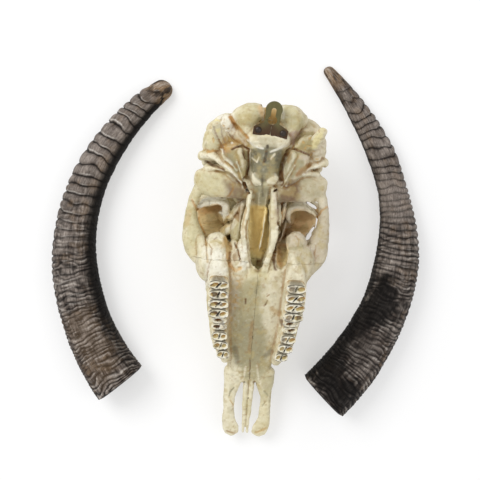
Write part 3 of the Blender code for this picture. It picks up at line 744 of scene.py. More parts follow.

# %% [markdown]
# ## Random relief and hollows
# Bone is never smooth. A seeded lattice of random numbers, read smoothly between its corners,
# gives soft relief of any size. Dirt and age gather in hollows and wear keeps crests pale, and
# hollows and creases are also darkened as painted shade, so the paint needs to know which is
# which: a hollow lies below the average of the points round it.

# %% Noise and neighbour averages
LATTICE, OCTAVE_SHIFT = 32, 0.37
CREASE_ROUNDS, HOLLOW_ROUNDS = 8, 120


def noise(points, size, seed, octaves=1):
    """Lattice noise: corner values in -1 to 1 blended by smoothsteps, and halved at each octave."""
    lattice = np.random.default_rng(seed).uniform(-1, 1, (LATTICE, LATTICE, LATTICE))
    total = np.zeros(len(points))
    for k in range(octaves):
        place = points * 2**k / size + OCTAVE_SHIFT * k
        cell = np.floor(place).astype(int)
        f = place - cell
        f = f * f * (3 - 2 * f)
        for corner in np.ndindex(2, 2, 2):
            at = (cell + corner) % LATTICE
            weight = np.where(corner, f, 1 - f).prod(axis=1)
            total += weight * lattice[at[:, 0], at[:, 1], at[:, 2]] / 2**k
    return total


def edges_of(mesh):
    """Two rows: the first and the second vertex of every edge."""
    pairs = np.empty(len(mesh.edges) * 2, np.int32)
    mesh.edges.foreach_get("vertices", pairs)
    return pairs.reshape(-1, 2).T


def neighbour_sums(values, edges):
    """For each vertex, the sum of the values of those it shares an edge with."""
    i, j = edges
    size = len(values)
    sums = [np.bincount(i, v[j], size) + np.bincount(j, v[i], size) for v in values.T]
    return np.stack(sums, axis=-1)


def spread(values, edges, rounds):
    """Each value moves half way to the mean of its neighbours, as many times as asked."""
    count = neighbour_sums(np.ones((len(values), 1)), edges)
    for _ in range(rounds):
        values = (values + neighbour_sums(values, edges) / count) / 2
    return values


points = points_of(skull.data)
normals = points_of(skull.data, "normal")
edges = edges_of(skull.data)
near = spread(points, edges, CREASE_ROUNDS)
far = spread(near, edges, HOLLOW_ROUNDS)
crease = ((near - points) * normals).sum(axis=1)
hollow_depth = ((far - points) * normals).sum(axis=1)
print("creases to", round(crease.max(), 2), "mm, hollows to", round(hollow_depth.max(), 2), "mm")

# %% [markdown]
# ## Colours of old bone and horn
# Fresh bone is ivory. Age and handling leave it straw-coloured on crests, tan to umber in pits,
# lilac or slate where it is thin and dense. Umber, mauve, lilac, olive and slate also serve as
# painted shade, in pits and creases and on the right side, which faces away from the light. The
# names below are those tones, as a screen shows them; a shader needs them as amounts of light,
# so they are converted once.

# %% Palette
def srgb(r, g, b):
    """Screen colour, 0 to 255, as linear light: the sRGB curve, undone."""
    c = np.array((r, g, b)) / 255
    return np.where(c <= 0.04045, c / 12.92, ((c + 0.055) / 1.055) ** 2.4)


PALETTE = {
    "white": srgb(255, 255, 247),
    "ivory": srgb(250, 246, 226),
    "straw": srgb(252, 243, 190),
    "gold": srgb(255, 231, 162),
    "cream": srgb(238, 231, 198),
    "sage": srgb(220, 214, 176),
    "khaki": srgb(198, 182, 130),
    "lilac": srgb(218, 207, 192),
    "mauve": srgb(172, 146, 134),
    "olive": srgb(182, 175, 142),
    "slate": srgb(138, 135, 114),
    "coal": srgb(84, 78, 68),
    "peach": srgb(240, 208, 160),
    "tan": srgb(206, 172, 112),
    "honey": srgb(202, 146, 70),
    "umber": srgb(160, 116, 60),
    "brown": srgb(104, 64, 28),
    "dark": srgb(54, 30, 16),
    "ink": srgb(18, 10, 8),
    "bark": srgb(86, 76, 70),
    "ash": srgb(176, 165, 156),
    "chalk": srgb(222, 216, 208),
    "tawny": srgb(158, 130, 98),
    "soot": srgb(14, 11, 10),
    "verdigris": srgb(112, 108, 66),
    "rust": srgb(72, 42, 20),
}


def soft(value, low, high):
    """Smoothstep from 0 at low to 1 at high."""
    t = np.clip((value - low) / (high - low), 0, 1)
    return t * t * (3 - 2 * t)


print("tones:", len(PALETTE))

# %% [markdown]
# ## A canvas
# The paint is one tone for each point of a mesh, and the relief one lift. Both are laid on from
# the photograph's pixels. A field is a small polygon with the range of heights that it may
# colour, so that the roof of an eye socket can be umber while the bar above it stays ivory. A
# mark is a line with a width, and with a depth that carves it in, or raises it where it is below
# zero. Edges are ragged, because the distances are wobbled by noise.

# %% Canvas
WINDOW, DEEP_WINDOW = 9.0, 20.0


def distance_to(at, line):
    """Distance from each point to a line of points, and how many segments along it that is."""
    best, where = np.full(len(at), np.inf), np.zeros(len(at))
    for k, (a, b) in enumerate(zip(line, line[1:])):
        run = b - a
        t = np.clip(((at - a) @ run) / max(run @ run, 1e-9), 0, 1)
        away = np.linalg.norm(at - a - t[:, None] * run, axis=1)
        nearer = away < best
        best, where = np.where(nearer, away, best), np.where(nearer, k + t, where)
    return best, where


def inside(at, corners):
    """Even-odd rule: how many edges of the polygon a ray to the right crosses."""
    crossings = np.zeros(len(at), int)
    for (ax, ay), (bx, by) in zip(corners, corners[1:]):
        spans = (ay > at[:, 1]) != (by > at[:, 1])
        crossings += spans & (at[:, 0] < ax + (at[:, 1] - ay) * (bx - ax) / ((by - ay) or 1e-9))
    return crossings % 2 == 1


class Canvas:
    """The paint and the relief of one body, in millimetres of its own frame and of the world."""

    def __init__(self, points, world, tone):
        self.height, self.world = points[:, 2], world
        self.pixels = to_photo(world)
        self.wander = np.stack([noise(points, 6, 31, 2), noise(points, 6, 32, 2)], axis=-1)
        self.colour = np.tile(PALETTE[tone], (len(points), 1))
        self.lift = np.zeros(len(points))

    def tint(self, tone, mask):
        """Moves the paint towards a tone by a share that differs from point to point."""
        self.colour += (PALETTE[tone] - self.colour) * np.clip(mask, 0, 1)[:, None]

    def within(self, line, margin):
        """The numbers of the points whose pixels lie in a line's box, or less than a margin off it."""
        box = (self.pixels > line.min(axis=0) - margin) & (self.pixels < line.max(axis=0) + margin)
        return np.flatnonzero(box.all(axis=1))

    def field(self, tone, strength, low, high, pixels, edge, ragged=1.0):
        """Tints what shows inside a polygon between two heights of its own frame; returns the mask."""
        corners = np.array(pixels, float).reshape(-1, 2)
        loop = np.vstack([corners, corners[:1]])
        pick = self.within(corners, edge + 3)
        at = self.pixels[pick] + ragged * self.wander[pick]
        away, _ = distance_to(at, loop)
        share = soft(np.where(inside(at, loop), away, -away), -edge, edge)
        tall = self.height[pick]
        mask = np.zeros(len(self.lift))
        mask[pick] = share * soft(tall, low - 2, low + 2) * soft(tall, high + 2, high - 2)
        self.tint(tone, mask * strength)
        return mask

    def mark(self, tone, strength, width, depth, pixels, window=WINDOW):
        """Tints and carves along a line: full at the line, nothing at its width or off its height."""
        stops = np.array(pixels, float).reshape(-1, 2)
        if len(stops) == 1:
            stops = np.vstack([stops, stops + 0.01])
        heights = np.array([drop(*stop) for stop in stops])
        pick = self.within(stops, width + 2)
        away, where = distance_to(self.pixels[pick] + 0.5 * min(width / 2, 1) * self.wander[pick], stops)
        fall = abs(self.world[pick, 2] - np.interp(where, np.arange(len(stops)), heights))
        mask = np.zeros(len(self.lift))
        mask[pick] = soft(away, width, width * 0.3) * soft(fall, window, window * 0.6)
        self.tint(tone, mask * strength)
        self.lift -= depth * mask


def set_paint(mesh, rgb):
    """Stores one linear colour for each point, as the attribute that the finishes read."""
    layer = mesh.attributes.get("paint") or mesh.attributes.new("paint", "FLOAT_COLOR", "POINT")
    layer.data.foreach_set("color", np.column_stack([rgb, np.ones(len(rgb))]).ravel())


bone = Canvas(points, to_world(points) / MM, "cream")
x, y, z = points.T
patchy = noise(points, 22, 5, 3)
blotchy = noise(points, 9, 6, 3)
bone.tint("ivory", soft(patchy, -0.3, 0.7) * 0.6)
bone.tint("sage", soft(-patchy, 0.0, 0.9) * 0.7)
# Lilac over the right side, fading out towards the front, is painted shade: that side faces away from the
# light.
bone.tint("lilac", soft(x, 10, 45) * soft(y, 60, 120) * 0.5)
bone.tint("lilac", soft(blotchy, 0.3, 0.9) * 0.3)
print("canvas of", len(points), "points")

# %% [markdown]
# ## Fields of the skull
# Each field is named for what it colours: tone, strength, lowest and highest point in the skull's
# frame, and the corners as pixels.

# %% Fields
WEB = (301, 133, 314, 131, 313, 148, 309, 154, 300, 150, 293, 147)
LEFT_SWELLING = (222, 152, 239, 150, 248, 151, 247, 176, 242, 182, 230, 166)
RIGHT_SWELLING = (288, 154, 296, 150, 306, 155, 303, 166, 294, 177, 285, 182, 285, 166)
FIELDS = {
    "bone seen through the keyhole": ("tan", 1.0, -110, -56, (256, 103, 284, 103, 286, 128, 256, 128)),
    # Mauve right of the condyle is painted shade: the right side faces away from the light.
    "right of the condyle": ("mauve", 0.95, -60, -28, (
        288, 134, 296, 130, 303, 132, 301, 140, 293, 147, 289, 143)),
    "web beside it": ("khaki", 1.0, -50, -20, WEB),
    "shade of the web": ("slate", 0.35, -50, -20, WEB),
    "right process": ("straw", 1.0, -40, 0, (311, 148, 314, 135, 319, 127, 326, 127, 322, 138, 317, 148)),
    "left fossa": ("tan", 1.0, -60, -22, (
        222, 134, 234, 138, 247, 139, 250, 147, 238, 146, 232, 151, 222, 151)),
    "rear rim of the floor": ("ivory", 0.9, -40, -15, (
        246, 136, 290, 137, 290, 142, 281, 148, 262, 150, 250, 144)),
    "middle of that rim": ("olive", 0.6, -40, -15, (256, 137, 278, 138, 276, 146, 262, 146)),
    "floor of the braincase": ("slate", 1.0, -40, -15, (
        250, 149, 268, 146, 284, 149, 281, 168, 278, 178, 262, 183, 251, 174)),
    "left swelling": ("slate", 0.9, -45, -14, LEFT_SWELLING),
    "its khaki sheen": ("khaki", 0.6, -45, -14, LEFT_SWELLING),
    "right swelling": ("olive", 0.9, -45, -14, RIGHT_SWELLING),
    "its shade": ("slate", 0.35, -45, -14, RIGHT_SWELLING),
    "left socket": ("peach", 1.0, -125, -40, (
        197, 208, 210, 203, 222, 203, 232, 218, 230, 231, 207, 237, 200, 226)),
    "its sallow front": ("straw", 0.45, -125, -40, (
        200, 214, 226, 214, 232, 222, 230, 233, 207, 239, 200, 228)),
    # The socket's rear under the crescent is umber as painted shade.
    "its dark rear": ("umber", 0.7, -125, -40, (203, 208, 222, 203, 224, 211, 214, 213)),
    "its outer wall": ("honey", 0.35, -125, -40, (197, 208, 206, 205, 210, 211, 201, 218)),
    # The left crescent is pale bone, and its white is also painted light.
    "left crescent": ("white", 1.0, -95, -38, (
        196.5, 208.5, 199, 203, 203, 198.6, 208, 197, 225, 197.6, 228.5, 201, 229.6, 206, 229, 211, 226, 217,
        224, 219.5, 222, 216, 219, 213.4, 219.4, 212, 221.4, 211, 222.6, 208, 221, 205, 217, 203, 213, 203,
        209, 205, 203, 206.5)),
    "right socket": ("peach", 1.0, -125, -40, (280, 208, 318, 206, 320, 222, 304, 238, 280, 240)),
    "its shaded rear": ("umber", 0.5, -125, -40, (290, 214, 304, 209, 318, 214, 312, 220, 296, 222)),
    "its inner part": ("mauve", 0.5, -125, -40, (279, 220, 292, 219, 292, 238, 280, 240)),
    # Lilac on the right crescent is painted shade, and white on its edge a painted highlight.
    "right crescent": ("lilac", 1.0, -95, -38, (
        285, 222, 284.6, 212, 287, 206, 292, 202, 302, 201, 309, 203.5, 316, 210, 319, 216, 316, 216,
        311, 211.5, 304, 209.4, 296, 208.8, 291, 211, 289.6, 215, 290.6, 220, 288, 223)),
    "its bright edge": ("white", 0.9, -95, -38, (
        288, 214, 290, 207.5, 296, 203.4, 304, 203, 311, 207, 304, 206.4, 296, 206.4, 291, 210)),
    "left hollow beside the nostril": ("umber", 0.7, -75, -30, (
        230, 214, 243, 204, 247, 206, 243, 219, 236.5, 223.5)),
    "wall under it": ("sage", 1.0, -75, -24, (
        233, 226, 238, 222, 243, 219, 241, 238, 236, 243, 231, 241, 231, 232)),
    "inner nostrils": ("straw", 1.0, -75, -22, (
        249, 206, 268, 206, 271, 242, 264, 262, 257, 272, 247, 250)),
    "their warm depth": ("peach", 0.45, -75, -22, (250, 207, 267, 207, 268, 240, 262, 256, 250, 250)),
    "right pit": ("peach", 1.0, -75, -16, (276, 240, 288, 244, 291, 262, 285, 273, 275, 271, 271, 258)),
    "its lit side": ("straw", 0.7, -75, -16, (281, 246, 288, 248, 289, 262, 282, 270)),
    "left pit": ("ivory", 0.9, -75, -8, (230, 248, 235, 242, 240, 250, 241, 266, 232, 268)),
    "left swelling's flank": ("tan", 0.75, -60, -2, (223, 237, 231, 236, 231, 249, 221, 249)),
    "right wall": ("ivory", 0.8, -60, -2, (
        268, 214, 278, 214, 278, 240, 271, 256, 264, 268, 260, 266, 270, 244)),
}
WIDE_FIELDS = {
    "left condyle": ("sage", 0.9, -70, -28, (
        231, 118, 240, 108, 250, 102, 258, 102, 264, 118, 252, 128, 240, 125)),
    "left condyle's shade": ("khaki", 0.6, -70, -28, (
        236, 120, 248, 113, 260, 116, 262, 123, 252, 127, 240, 125)),
    "right condyle": ("sage", 1.0, -70, -28, (281, 104, 296, 107, 306, 120, 304, 129, 292, 132, 284, 124)),
    "right condyle's shade": ("olive", 0.6, -70, -28, (283, 112, 306, 116, 304, 130, 286, 128)),
    "left of the condyle": ("white", 1.0, -70, -28, (
        218, 112, 231, 114, 238, 128, 231, 137, 219, 134)),
    "left mastoid": ("sage", 0.8, -60, -20, (203, 150, 205, 137, 213, 129, 221, 140, 222, 149, 212, 152)),
    # Lilac on the right mastoid is painted shade.
    "right mastoid": ("lilac", 0.8, -60, -20, (309, 144, 318, 142, 322, 155, 318, 165, 309, 164)),
    "right mastoid's shade": ("olive", 0.6, -60, -20, (308, 144, 316, 144, 318, 160, 309, 164)),
    "front of the floor": ("slate", 0.75, -45, -14, (
        249, 186, 262, 183, 275, 186, 270, 200, 262, 208, 254, 203)),
    "left temple": ("sage", 0.8, -50, -20, (192, 190, 200, 172, 222, 174, 226, 197, 204, 198, 196, 206)),
    "left temple's inner part": ("brown", 0.75, -50, -20, (
        225, 180, 236, 180, 248, 190, 247, 204, 234, 206, 228, 196)),
    # Olive on the right temple is painted shade: the right side faces away from the light.
    "right temple": ("olive", 0.5, -50, -20, (292, 180, 304, 177, 318, 180, 326, 198, 292, 201)),
    "right temple's inner part": ("brown", 0.85, -50, -20, (
        278, 184, 290, 178, 299, 180, 300, 203, 280, 208)),
    "left of the tooth row": ("white", 0.8, -40, 8, (203, 247, 226, 248, 228, 286, 206, 286)),
    "behind the right tooth row": ("ivory", 0.9, -40, 8, (284, 270, 308, 270, 306, 288, 284, 288)),
    "left swelling's top": ("ivory", 0.8, -40, 0, (207, 233, 226, 231, 225, 246, 207, 246)),
    "root of the left wall": ("white", 0.8, -40, 8, (234, 244, 249, 244, 250, 268, 240, 270)),
    # Lilac on the top of the right swelling is painted shade.
    "right swelling's top": ("lilac", 0.7, -45, 0, (284, 232, 306, 232, 308, 246, 286, 246)),
    "right swelling's shade": ("olive", 0.4, -45, 0, (290, 244, 316, 242, 314, 262, 292, 262)),
    "left cheek": ("sage", 0.8, -60, -20, (184, 205, 197, 203, 204, 236, 200, 250, 184, 246)),
    # Lilac on the right cheek is painted shade.
    "right cheek": ("lilac", 0.9, -60, -20, (312, 225, 327, 205, 330, 245, 320, 262, 300, 268, 306, 246)),
    "right cheek's shade": ("olive", 0.4, -60, -20, (314, 225, 327, 205, 330, 245, 316, 262)),
    "palate": ("olive", 0.85, -20, 6, (229, 280, 283, 280, 283, 300, 266, 368, 256, 382, 246, 382, 229, 350)),
    "front of the palate": ("slate", 0.4, -20, 6, (236, 318, 264, 318, 264, 366, 240, 366)),
    "right of the palate": ("ivory", 0.8, -20, 6, (264, 280, 284, 280, 283, 326, 270, 345, 262, 320)),
    "left of the palate": ("lilac", 0.6, -20, 6, (229, 276, 243, 276, 238, 305, 229, 330)),
    "left prong": ("ivory", 0.6, -20, 6, (222, 362, 238, 362, 238, 432, 222, 432)),
    # Olive on the right prong is painted shade.
    "right prong": ("olive", 0.45, -25, 6, (258, 362, 276, 362, 272, 400, 262, 400)),
    "tip of the right prong": ("cream", 0.8, -25, 6, (258, 404, 274, 404, 272, 434, 252, 434)),
}
WIDE_EDGE, CRISP_EDGE, EDGE, RAGGED = 5.0, 0.7, 1.6, 0.6
CRISP = ("left crescent", "right crescent", "its bright edge")
POROUS = ("left mastoid", "right mastoid", "left of the condyle", "web beside it", "left of the palate")
porous = np.zeros(len(points))
for name, (tone, strength, low, high, pixels) in {**WIDE_FIELDS, **FIELDS}.items():
    edge = WIDE_EDGE if name in WIDE_FIELDS else CRISP_EDGE if name in CRISP else EDGE
    mask = bone.field(tone, strength, low, high, pixels, edge, edge * RAGGED)
    if name in POROUS:
        porous = np.maximum(porous, mask)
print("fields laid:", len(FIELDS) + len(WIDE_FIELDS))

# %% [markdown]
# ## Marks of the skull
# Cracks, grooves, pores and thin ridges, and a few strokes of painted light and shade: tone,
# strength, width in pixels, depth in millimetres, and the line as pixels, grouped by the part of
# the skull that they lie on.

# %% Marks
DEEP = ("left socket and the wall beside it", "inner nostrils")
MARKS = {
    "condyles, and the hole for the spinal cord": (
        ("honey", 0.9, 2.6, 0.8, (230, 117, 235, 124, 241, 131, 247, 138)),
        # Olive under the left condyle is painted shade.
        ("olive", 0.5, 4.5, 0, (240, 122, 252, 125, 262, 123)),
        ("white", 0.8, 2.0, 0, (257, 103, 259, 112, 263, 120)),
        ("white", 0.7, 2.2, 0, (283, 106, 283, 118)),
        ("peach", 1.0, 5.0, 0, (261, 108, 264, 116)),
    ),
    "left side of the back of the head": (
        ("straw", 1.0, 3.6, 0, (217, 121, 218, 130)),
        ("honey", 1.0, 1.5, 1.2, (217.5, 123.5)),
        ("mauve", 0.7, 1.3, 0.5, (214, 127, 217, 137, 223, 147)),
        ("mauve", 0.6, 1.0, 0.4, (221, 126, 222, 134, 225, 143)),
        ("honey", 0.8, 1.8, 0.4, (207, 151, 215, 151, 222, 151)),
        ("umber", 0.8, 1.6, 0.8, (219, 140, 221, 146, 222, 152)),
        ("ivory", 0.8, 2.6, -0.8, (226, 133, 238, 135, 246, 144)),
        ("honey", 0.7, 3.0, 0, (224, 151, 229, 152)),
        ("white", 1.0, 1.8, -0.8, (232, 143)),
        ("brown", 1.0, 1.7, 1.4, (232, 149.5, 237, 146.5, 243, 146, 247, 148.5, 250, 151)),
        ("brown", 0.9, 2.2, 1.2, (243, 150, 246, 158)),
        ("brown", 0.9, 1.7, 1.5, (248, 152, 248.5, 166, 246, 175, 243, 181)),
        ("ink", 1.0, 1.9, 2.5, (243.5, 183, 246, 188, 248.5, 193)),
    ),
    "ear and swelling on the left": (
        ("ivory", 0.9, 4.0, 0, (203, 155, 213, 156, 221, 163)),
        ("white", 0.9, 1.4, -0.4, (221, 163, 230, 170, 241, 183)),
        ("brown", 0.95, 2.4, 1.0, (206, 161, 214, 165, 223, 170)),
        ("brown", 0.8, 2.0, 0.8, (216, 171, 228, 173, 236, 179, 241, 186)),
        ("umber", 0.8, 1.8, 0.6, (225, 162, 233, 168)),
        ("white", 0.8, 2.4, -0.4, (222.5, 150, 225, 157, 232, 164)),
        ("slate", 0.5, 6.0, 0, (228, 156, 234, 162, 238, 169)),
    ),
    "right side of the back of the head": (
        ("brown", 1.0, 1.8, 1.5, (287, 151, 290, 148.5, 297, 149.5, 303, 152, 309, 155)),
        ("brown", 0.95, 3.0, 2.0, (288, 152, 284, 158, 282, 166, 281, 175, 282, 184)),
        ("umber", 0.5, 2.6, 0, (291, 153, 288, 161)),
        ("lilac", 0.8, 3.6, 0, (300, 157, 308, 158)),
        ("umber", 0.9, 4.0, 0.8, (298, 175, 303, 170, 309, 166)),
        ("white", 0.9, 1.3, -0.4, (303, 175, 311, 169.5, 319, 166)),
        ("umber", 0.8, 1.8, 0.5, (312, 171, 320, 169.5, 325, 167)),
        ("honey", 0.7, 2.0, 0, (319, 131)),
    ),
    "floor of the braincase": (
        ("white", 0.8, 1.5, -0.5, (247, 140, 254, 146, 263, 148.5)),
        ("white", 0.8, 1.6, -0.5, (271, 152, 279, 148.5, 289, 144)),
        ("coal", 0.95, 2.0, 0.9, (267.5, 146, 266.5, 153, 264.5, 162)),
        ("coal", 0.6, 2.2, 0.3, (255, 153, 257, 158)),
        ("coal", 0.5, 2.0, 0.3, (279, 154, 277, 161)),
        ("ivory", 0.9, 1.2, -0.3, (252, 158, 257, 162, 259, 157)),
        ("ivory", 0.9, 1.4, -0.3, (271, 159, 275, 154)),
        ("ivory", 0.8, 1.3, -0.3, (249.8, 150, 249.8, 174)),
        ("ivory", 0.95, 2.4, -0.6, (251, 173, 255, 180, 260, 184)),
        ("ivory", 0.95, 2.6, -0.6, (268, 181, 275, 177.5, 280, 182)),
        ("umber", 0.6, 1.6, 0.5, (269, 185, 277, 186)),
        ("coal", 0.6, 1.6, 0.5, (262, 176, 263, 196)),
        ("ink", 1.0, 1.3, 1.6, (273.5, 191.5, 277, 189.5)),
        ("lilac", 0.9, 3.4, 0, (275, 193, 276, 203, 277, 214)),
        ("mauve", 0.8, 3.0, 0, (277, 212, 278, 221)),
    ),
    "temple plates and crescents": (
        ("umber", 0.7, 1.4, 0.3, (233, 184, 233, 190, 229, 196, 222, 197.5)),
        ("honey", 0.8, 1.8, 0.4, (192, 200, 197, 209)),
        ("honey", 0.8, 1.8, 0.3, (318, 218, 321, 211, 327, 207)),
        # White on the left crescent and ivory on the right one's upper edge are painted light.
        ("white", 1.0, 4.4, 0, (200, 205, 206, 200.5, 221, 200.5, 227, 205, 227, 213)),
        ("ivory", 0.8, 3.2, 0, (289, 217, 288, 208, 296, 204.5, 305, 205.5, 315, 213)),
    ),
    "left socket and the wall beside it": (
        ("honey", 0.8, 1.6, 0.3, (197.5, 210, 199, 221, 204, 232)),
        ("ink", 1.0, 1.9, 3.0, (228.3, 222.5)),
        ("ivory", 1.0, 2.8, -0.4, (231, 216, 235.5, 222, 231, 228, 227, 230, 229, 235)),
        ("brown", 0.8, 1.3, 0.8, (230.5, 237, 231.5, 249)),
        ("tan", 0.8, 3.2, 0, (226, 238, 228, 248)),
        ("umber", 0.8, 1.1, 0.5, (205, 233, 206, 245)),
        ("mauve", 0.9, 1.1, 0.9, (214, 239, 216.5, 237.5)),
        ("mauve", 0.7, 1.1, 0.6, (208, 238)),
        ("ivory", 1.0, 2.2, -0.4, (249, 197, 247, 208, 245, 218, 242.5, 229, 242.5, 239)),
        ("honey", 0.6, 1.2, 0.7, (247.3, 221, 245.6, 231, 246.5, 238)),
        ("tan", 0.7, 1.4, 0.6, (246.4, 203, 245.4, 213, 243.6, 224, 243, 235)),
        ("umber", 0.6, 1.0, 0.5, (247, 244, 248.5, 256, 250, 266)),
        ("tan", 0.6, 1.6, 0.4, (207, 236, 206.6, 250, 207.5, 262)),
        ("khaki", 0.7, 2.4, 0.3, (211, 242, 216, 240, 221, 243)),
        ("umber", 0.6, 0.9, 0.4, (209, 244, 212, 249, 211, 255)),
        ("peach", 1.0, 2.8, 0.8, (229, 249, 227.5, 257, 230, 265, 236, 270.5, 240, 268)),
        ("brown", 0.8, 1.2, 0.8, (230.5, 252, 230, 262)),
        ("brown", 0.95, 1.3, 1.4, (235, 243, 237.5, 250, 239.5, 259)),
        ("ink", 0.9, 1.5, 1.5, (239.3, 259.8)),
    ),
    "inner nostrils": (
        ("brown", 0.9, 4.6, 0, (259, 262, 257.5, 270)),
        ("brown", 0.8, 1.8, 0.4, (264, 252, 261, 262)),
        ("umber", 0.45, 1.6, 0.3, (251, 207, 252.5, 222)),
        ("honey", 0.5, 5.0, 0, (257, 226, 257.5, 252)),
        ("white", 0.8, 1.0, 0, (264.6, 214, 263.4, 232, 259.8, 248)),
        ("brown", 0.95, 2.0, 1.6, (278.7, 223, 280, 232, 279.5, 240)),
        ("brown", 0.9, 2.8, 0.8, (277.5, 243, 274.5, 250, 273.5, 260, 276, 269)),
        ("umber", 0.5, 1.2, 0.5, (278, 246, 279, 254)),
        ("mauve", 0.6, 2.0, 0.3, (277.6, 207, 278, 220)),
    ),
    "right swelling, and both cheeks": (
        ("olive", 0.7, 2.6, 0.3, (290, 249, 300, 247, 309, 243)),
        ("ivory", 0.9, 3.0, -0.4, (291, 255, 297, 270)),
        ("tan", 0.5, 4.0, 0, (189, 212, 187, 224)),
        ("umber", 0.6, 1.0, 0.5, (296, 236, 299, 240, 298, 246)),
        ("khaki", 0.6, 2.6, 0.3, (298, 258, 304, 264, 306, 272)),
    ),
    "palate: the two holes, the stain on the middle line, and the darker hollows in front": (
        ("brown", 0.9, 1.3, 0.8, (245.8, 299, 245.6, 303.5)),
        ("brown", 0.9, 1.3, 0.8, (267.2, 301, 265.3, 305)),
        ("umber", 0.7, 1.0, 0.4, (269.5, 295, 267, 296.5)),
        ("umber", 0.45, 3.0, 0.3, (252.5, 322, 251, 335, 249.5, 352)),
        ("brown", 0.6, 1.0, 0.5, (250, 358, 249.7, 378)),
        # Coal in the hollows in front of the palate is painted shadow.
        ("coal", 0.45, 4.0, 0.4, (235, 348, 237, 362)),
        ("coal", 0.4, 3.6, 0.4, (271, 351, 264, 358)),
        ("tan", 0.5, 4.0, 0.5, (272, 309, 279, 314)),
        ("brown", 0.8, 3.2, 0.8, (281, 321, 283, 327)),
        ("olive", 0.6, 2.4, 0.3, (240, 284, 241, 300, 240, 322)),
        ("mauve", 0.35, 4.0, 0.3, (228, 296, 227.5, 344)),
        ("coal", 0.3, 2.6, 0.3, (258, 283, 256, 292)),
        ("ivory", 0.8, 1.6, -0.4, (246, 367, 243, 380)),
        ("ivory", 0.6, 1.4, -0.4, (257, 366, 259, 380, 262, 388)),
    ),
    "front of the jaws": (
        ("slate", 0.8, 1.0, 0.4, (234, 388, 230, 392, 229, 396)),
        ("tan", 0.8, 1.0, 0.4, (230, 400, 234, 406)),
        ("olive", 0.8, 1.0, 0.4, (262, 406, 265, 402)),
        ("slate", 0.6, 1.0, 0.3, (264, 391, 268, 396)),
        ("coal", 0.8, 1.6, 0.8, (244.5, 382)),
        ("brown", 0.8, 1.8, 0.8, (254.5, 382.5)),
        ("dark", 0.9, 1.0, 0.6, (248.3, 398)),
        ("umber", 0.7, 1.4, 0.4, (227, 431, 234, 433.5, 241, 434)),
        ("tan", 0.7, 1.6, 0.4, (249, 432, 257, 432.5, 266, 428)),
    ),
}

for region, marks in MARKS.items():
    for tone, strength, width, depth, pixels in marks:
        bone.mark(tone, strength, width, depth, pixels, DEEP_WINDOW if region in DEEP else WINDOW)
print("marks carve down to", round(-bone.lift.min(), 1), "mm")

# %% [markdown]
# Last come the things that are the same all over: dirt and painted shade in creases and hollows,
# worn white crests, a speckle of a few millimetres, and open pores where the bone under the skin
# was spongy.

# %% Dirt and painted shade, wear, speckle and fine relief
fine, middling = noise(points, 2.6, 81, 2), noise(points, 7, 82, 3)
pores = soft(noise(points, 3.4, 83), 0.3, 0.55) * porous
shallow = soft(z, -75, -50)
# Umber and brown in hollows and creases are dirt, and also painted shade where less light reaches.
bone.tint("umber", soft(hollow_depth, 1.2, 6.0) * 0.35 * shallow)
bone.tint("umber", soft(crease, 0.05, 0.3) * 0.6)
bone.tint("brown", soft(crease, 0.3, 0.9) * 0.6)
bone.tint("ivory", soft(crease, -0.05, -0.3) * 0.5)
bone.tint("khaki", soft(middling, 0.0, 0.8) * 0.45)
bone.tint("olive", soft(-middling, 0.1, 0.9) * 0.32)
bone.tint("umber", soft(fine, 0.35, 0.9) * 0.35)
bone.tint("white", soft(-fine, 0.4, 1.1) * 0.2 * shallow)
bone.tint("tan", pores * 0.7)
# The rear of the inner nostrils is clean and golden, so it is tinted after the dirt and painted shade.
CLEAN_REAR = (249, 206, 268, 206, 270, 240, 264, 254, 257, 259, 250, 250)
bone.field("gold", 0.95, -75, -22, CLEAN_REAR, 3.0)
bone.lift += 0.22 * noise(points, 2.5, 11) + 0.4 * noise(points, 6, 12, 2) + 0.6 * noise(points, 18, 13)
bone.lift -= 0.7 * pores
# The thin walls and swellings behind the palate are crumbly.
crumbly = soft(y, 216, 230) * soft(y, 304, 292) * soft(abs(x), 60, 52) * soft(z, -45, -32)
bone.lift += crumbly * (0.8 * noise(points, 5, 15, 2) + 0.35 * noise(points, 2.2, 16))
set_points(skull.data, points + normals * bone.lift[:, None])
set_paint(skull.data, bone.colour)
print("relief from", round(bone.lift.min(), 2), "to", round(bone.lift.max(), 2), "mm")

# %% [markdown]
# ## Parting the bones
# A skull is many bones that meet at sutures, which wander like the edge of a torn page. Cutting
# with flat blocks would look sawn. So all points are first moved by a small random wobble, then
# cut flat, and then moved back: the bone is as it was, and the straight cuts have become wavy.

# %% Wobble, cut, and move back
GAP = 0.3
WIDE = 200.0
WOBBLE, WOBBLE_SIZE = 0.9, 7
HEAL_ROUNDS, WOBBLE_ROUNDS = 6, 8


def wobble(points):
    """A vector of noise for each point, of about a millimetre, that changes over a few millimetres."""
    return np.stack([noise(points, WOBBLE_SIZE, seed, 2) for seed in (41, 42, 43)], axis=-1) * WOBBLE


def unwobbled(points):
    """Solves p + wobble(p) = q for p, by taking the wobble of the last guess away from q."""
    guess = points.copy()
    for _ in range(WOBBLE_ROUNDS):
        guess = points - wobble(guess)
    return guess


def block(low, high, tilt=0.0):
    """A box between two corners, tilted about x."""
    low, high = np.array(low, float), np.array(high, float)
    bm = bmesh.new()
    size = Matrix.Diagonal((*(high - low), 1))
    place = Matrix.Translation(Vector((low + high) / 2))
    turn = Matrix.Rotation(math.radians(tilt), 4, "X")
    bmesh.ops.create_cube(bm, size=1, matrix=turn @ place @ size)
    mesh = bpy.data.meshes.new("block")
    bm.to_mesh(mesh)
    bm.free()
    return object_from("block", mesh)


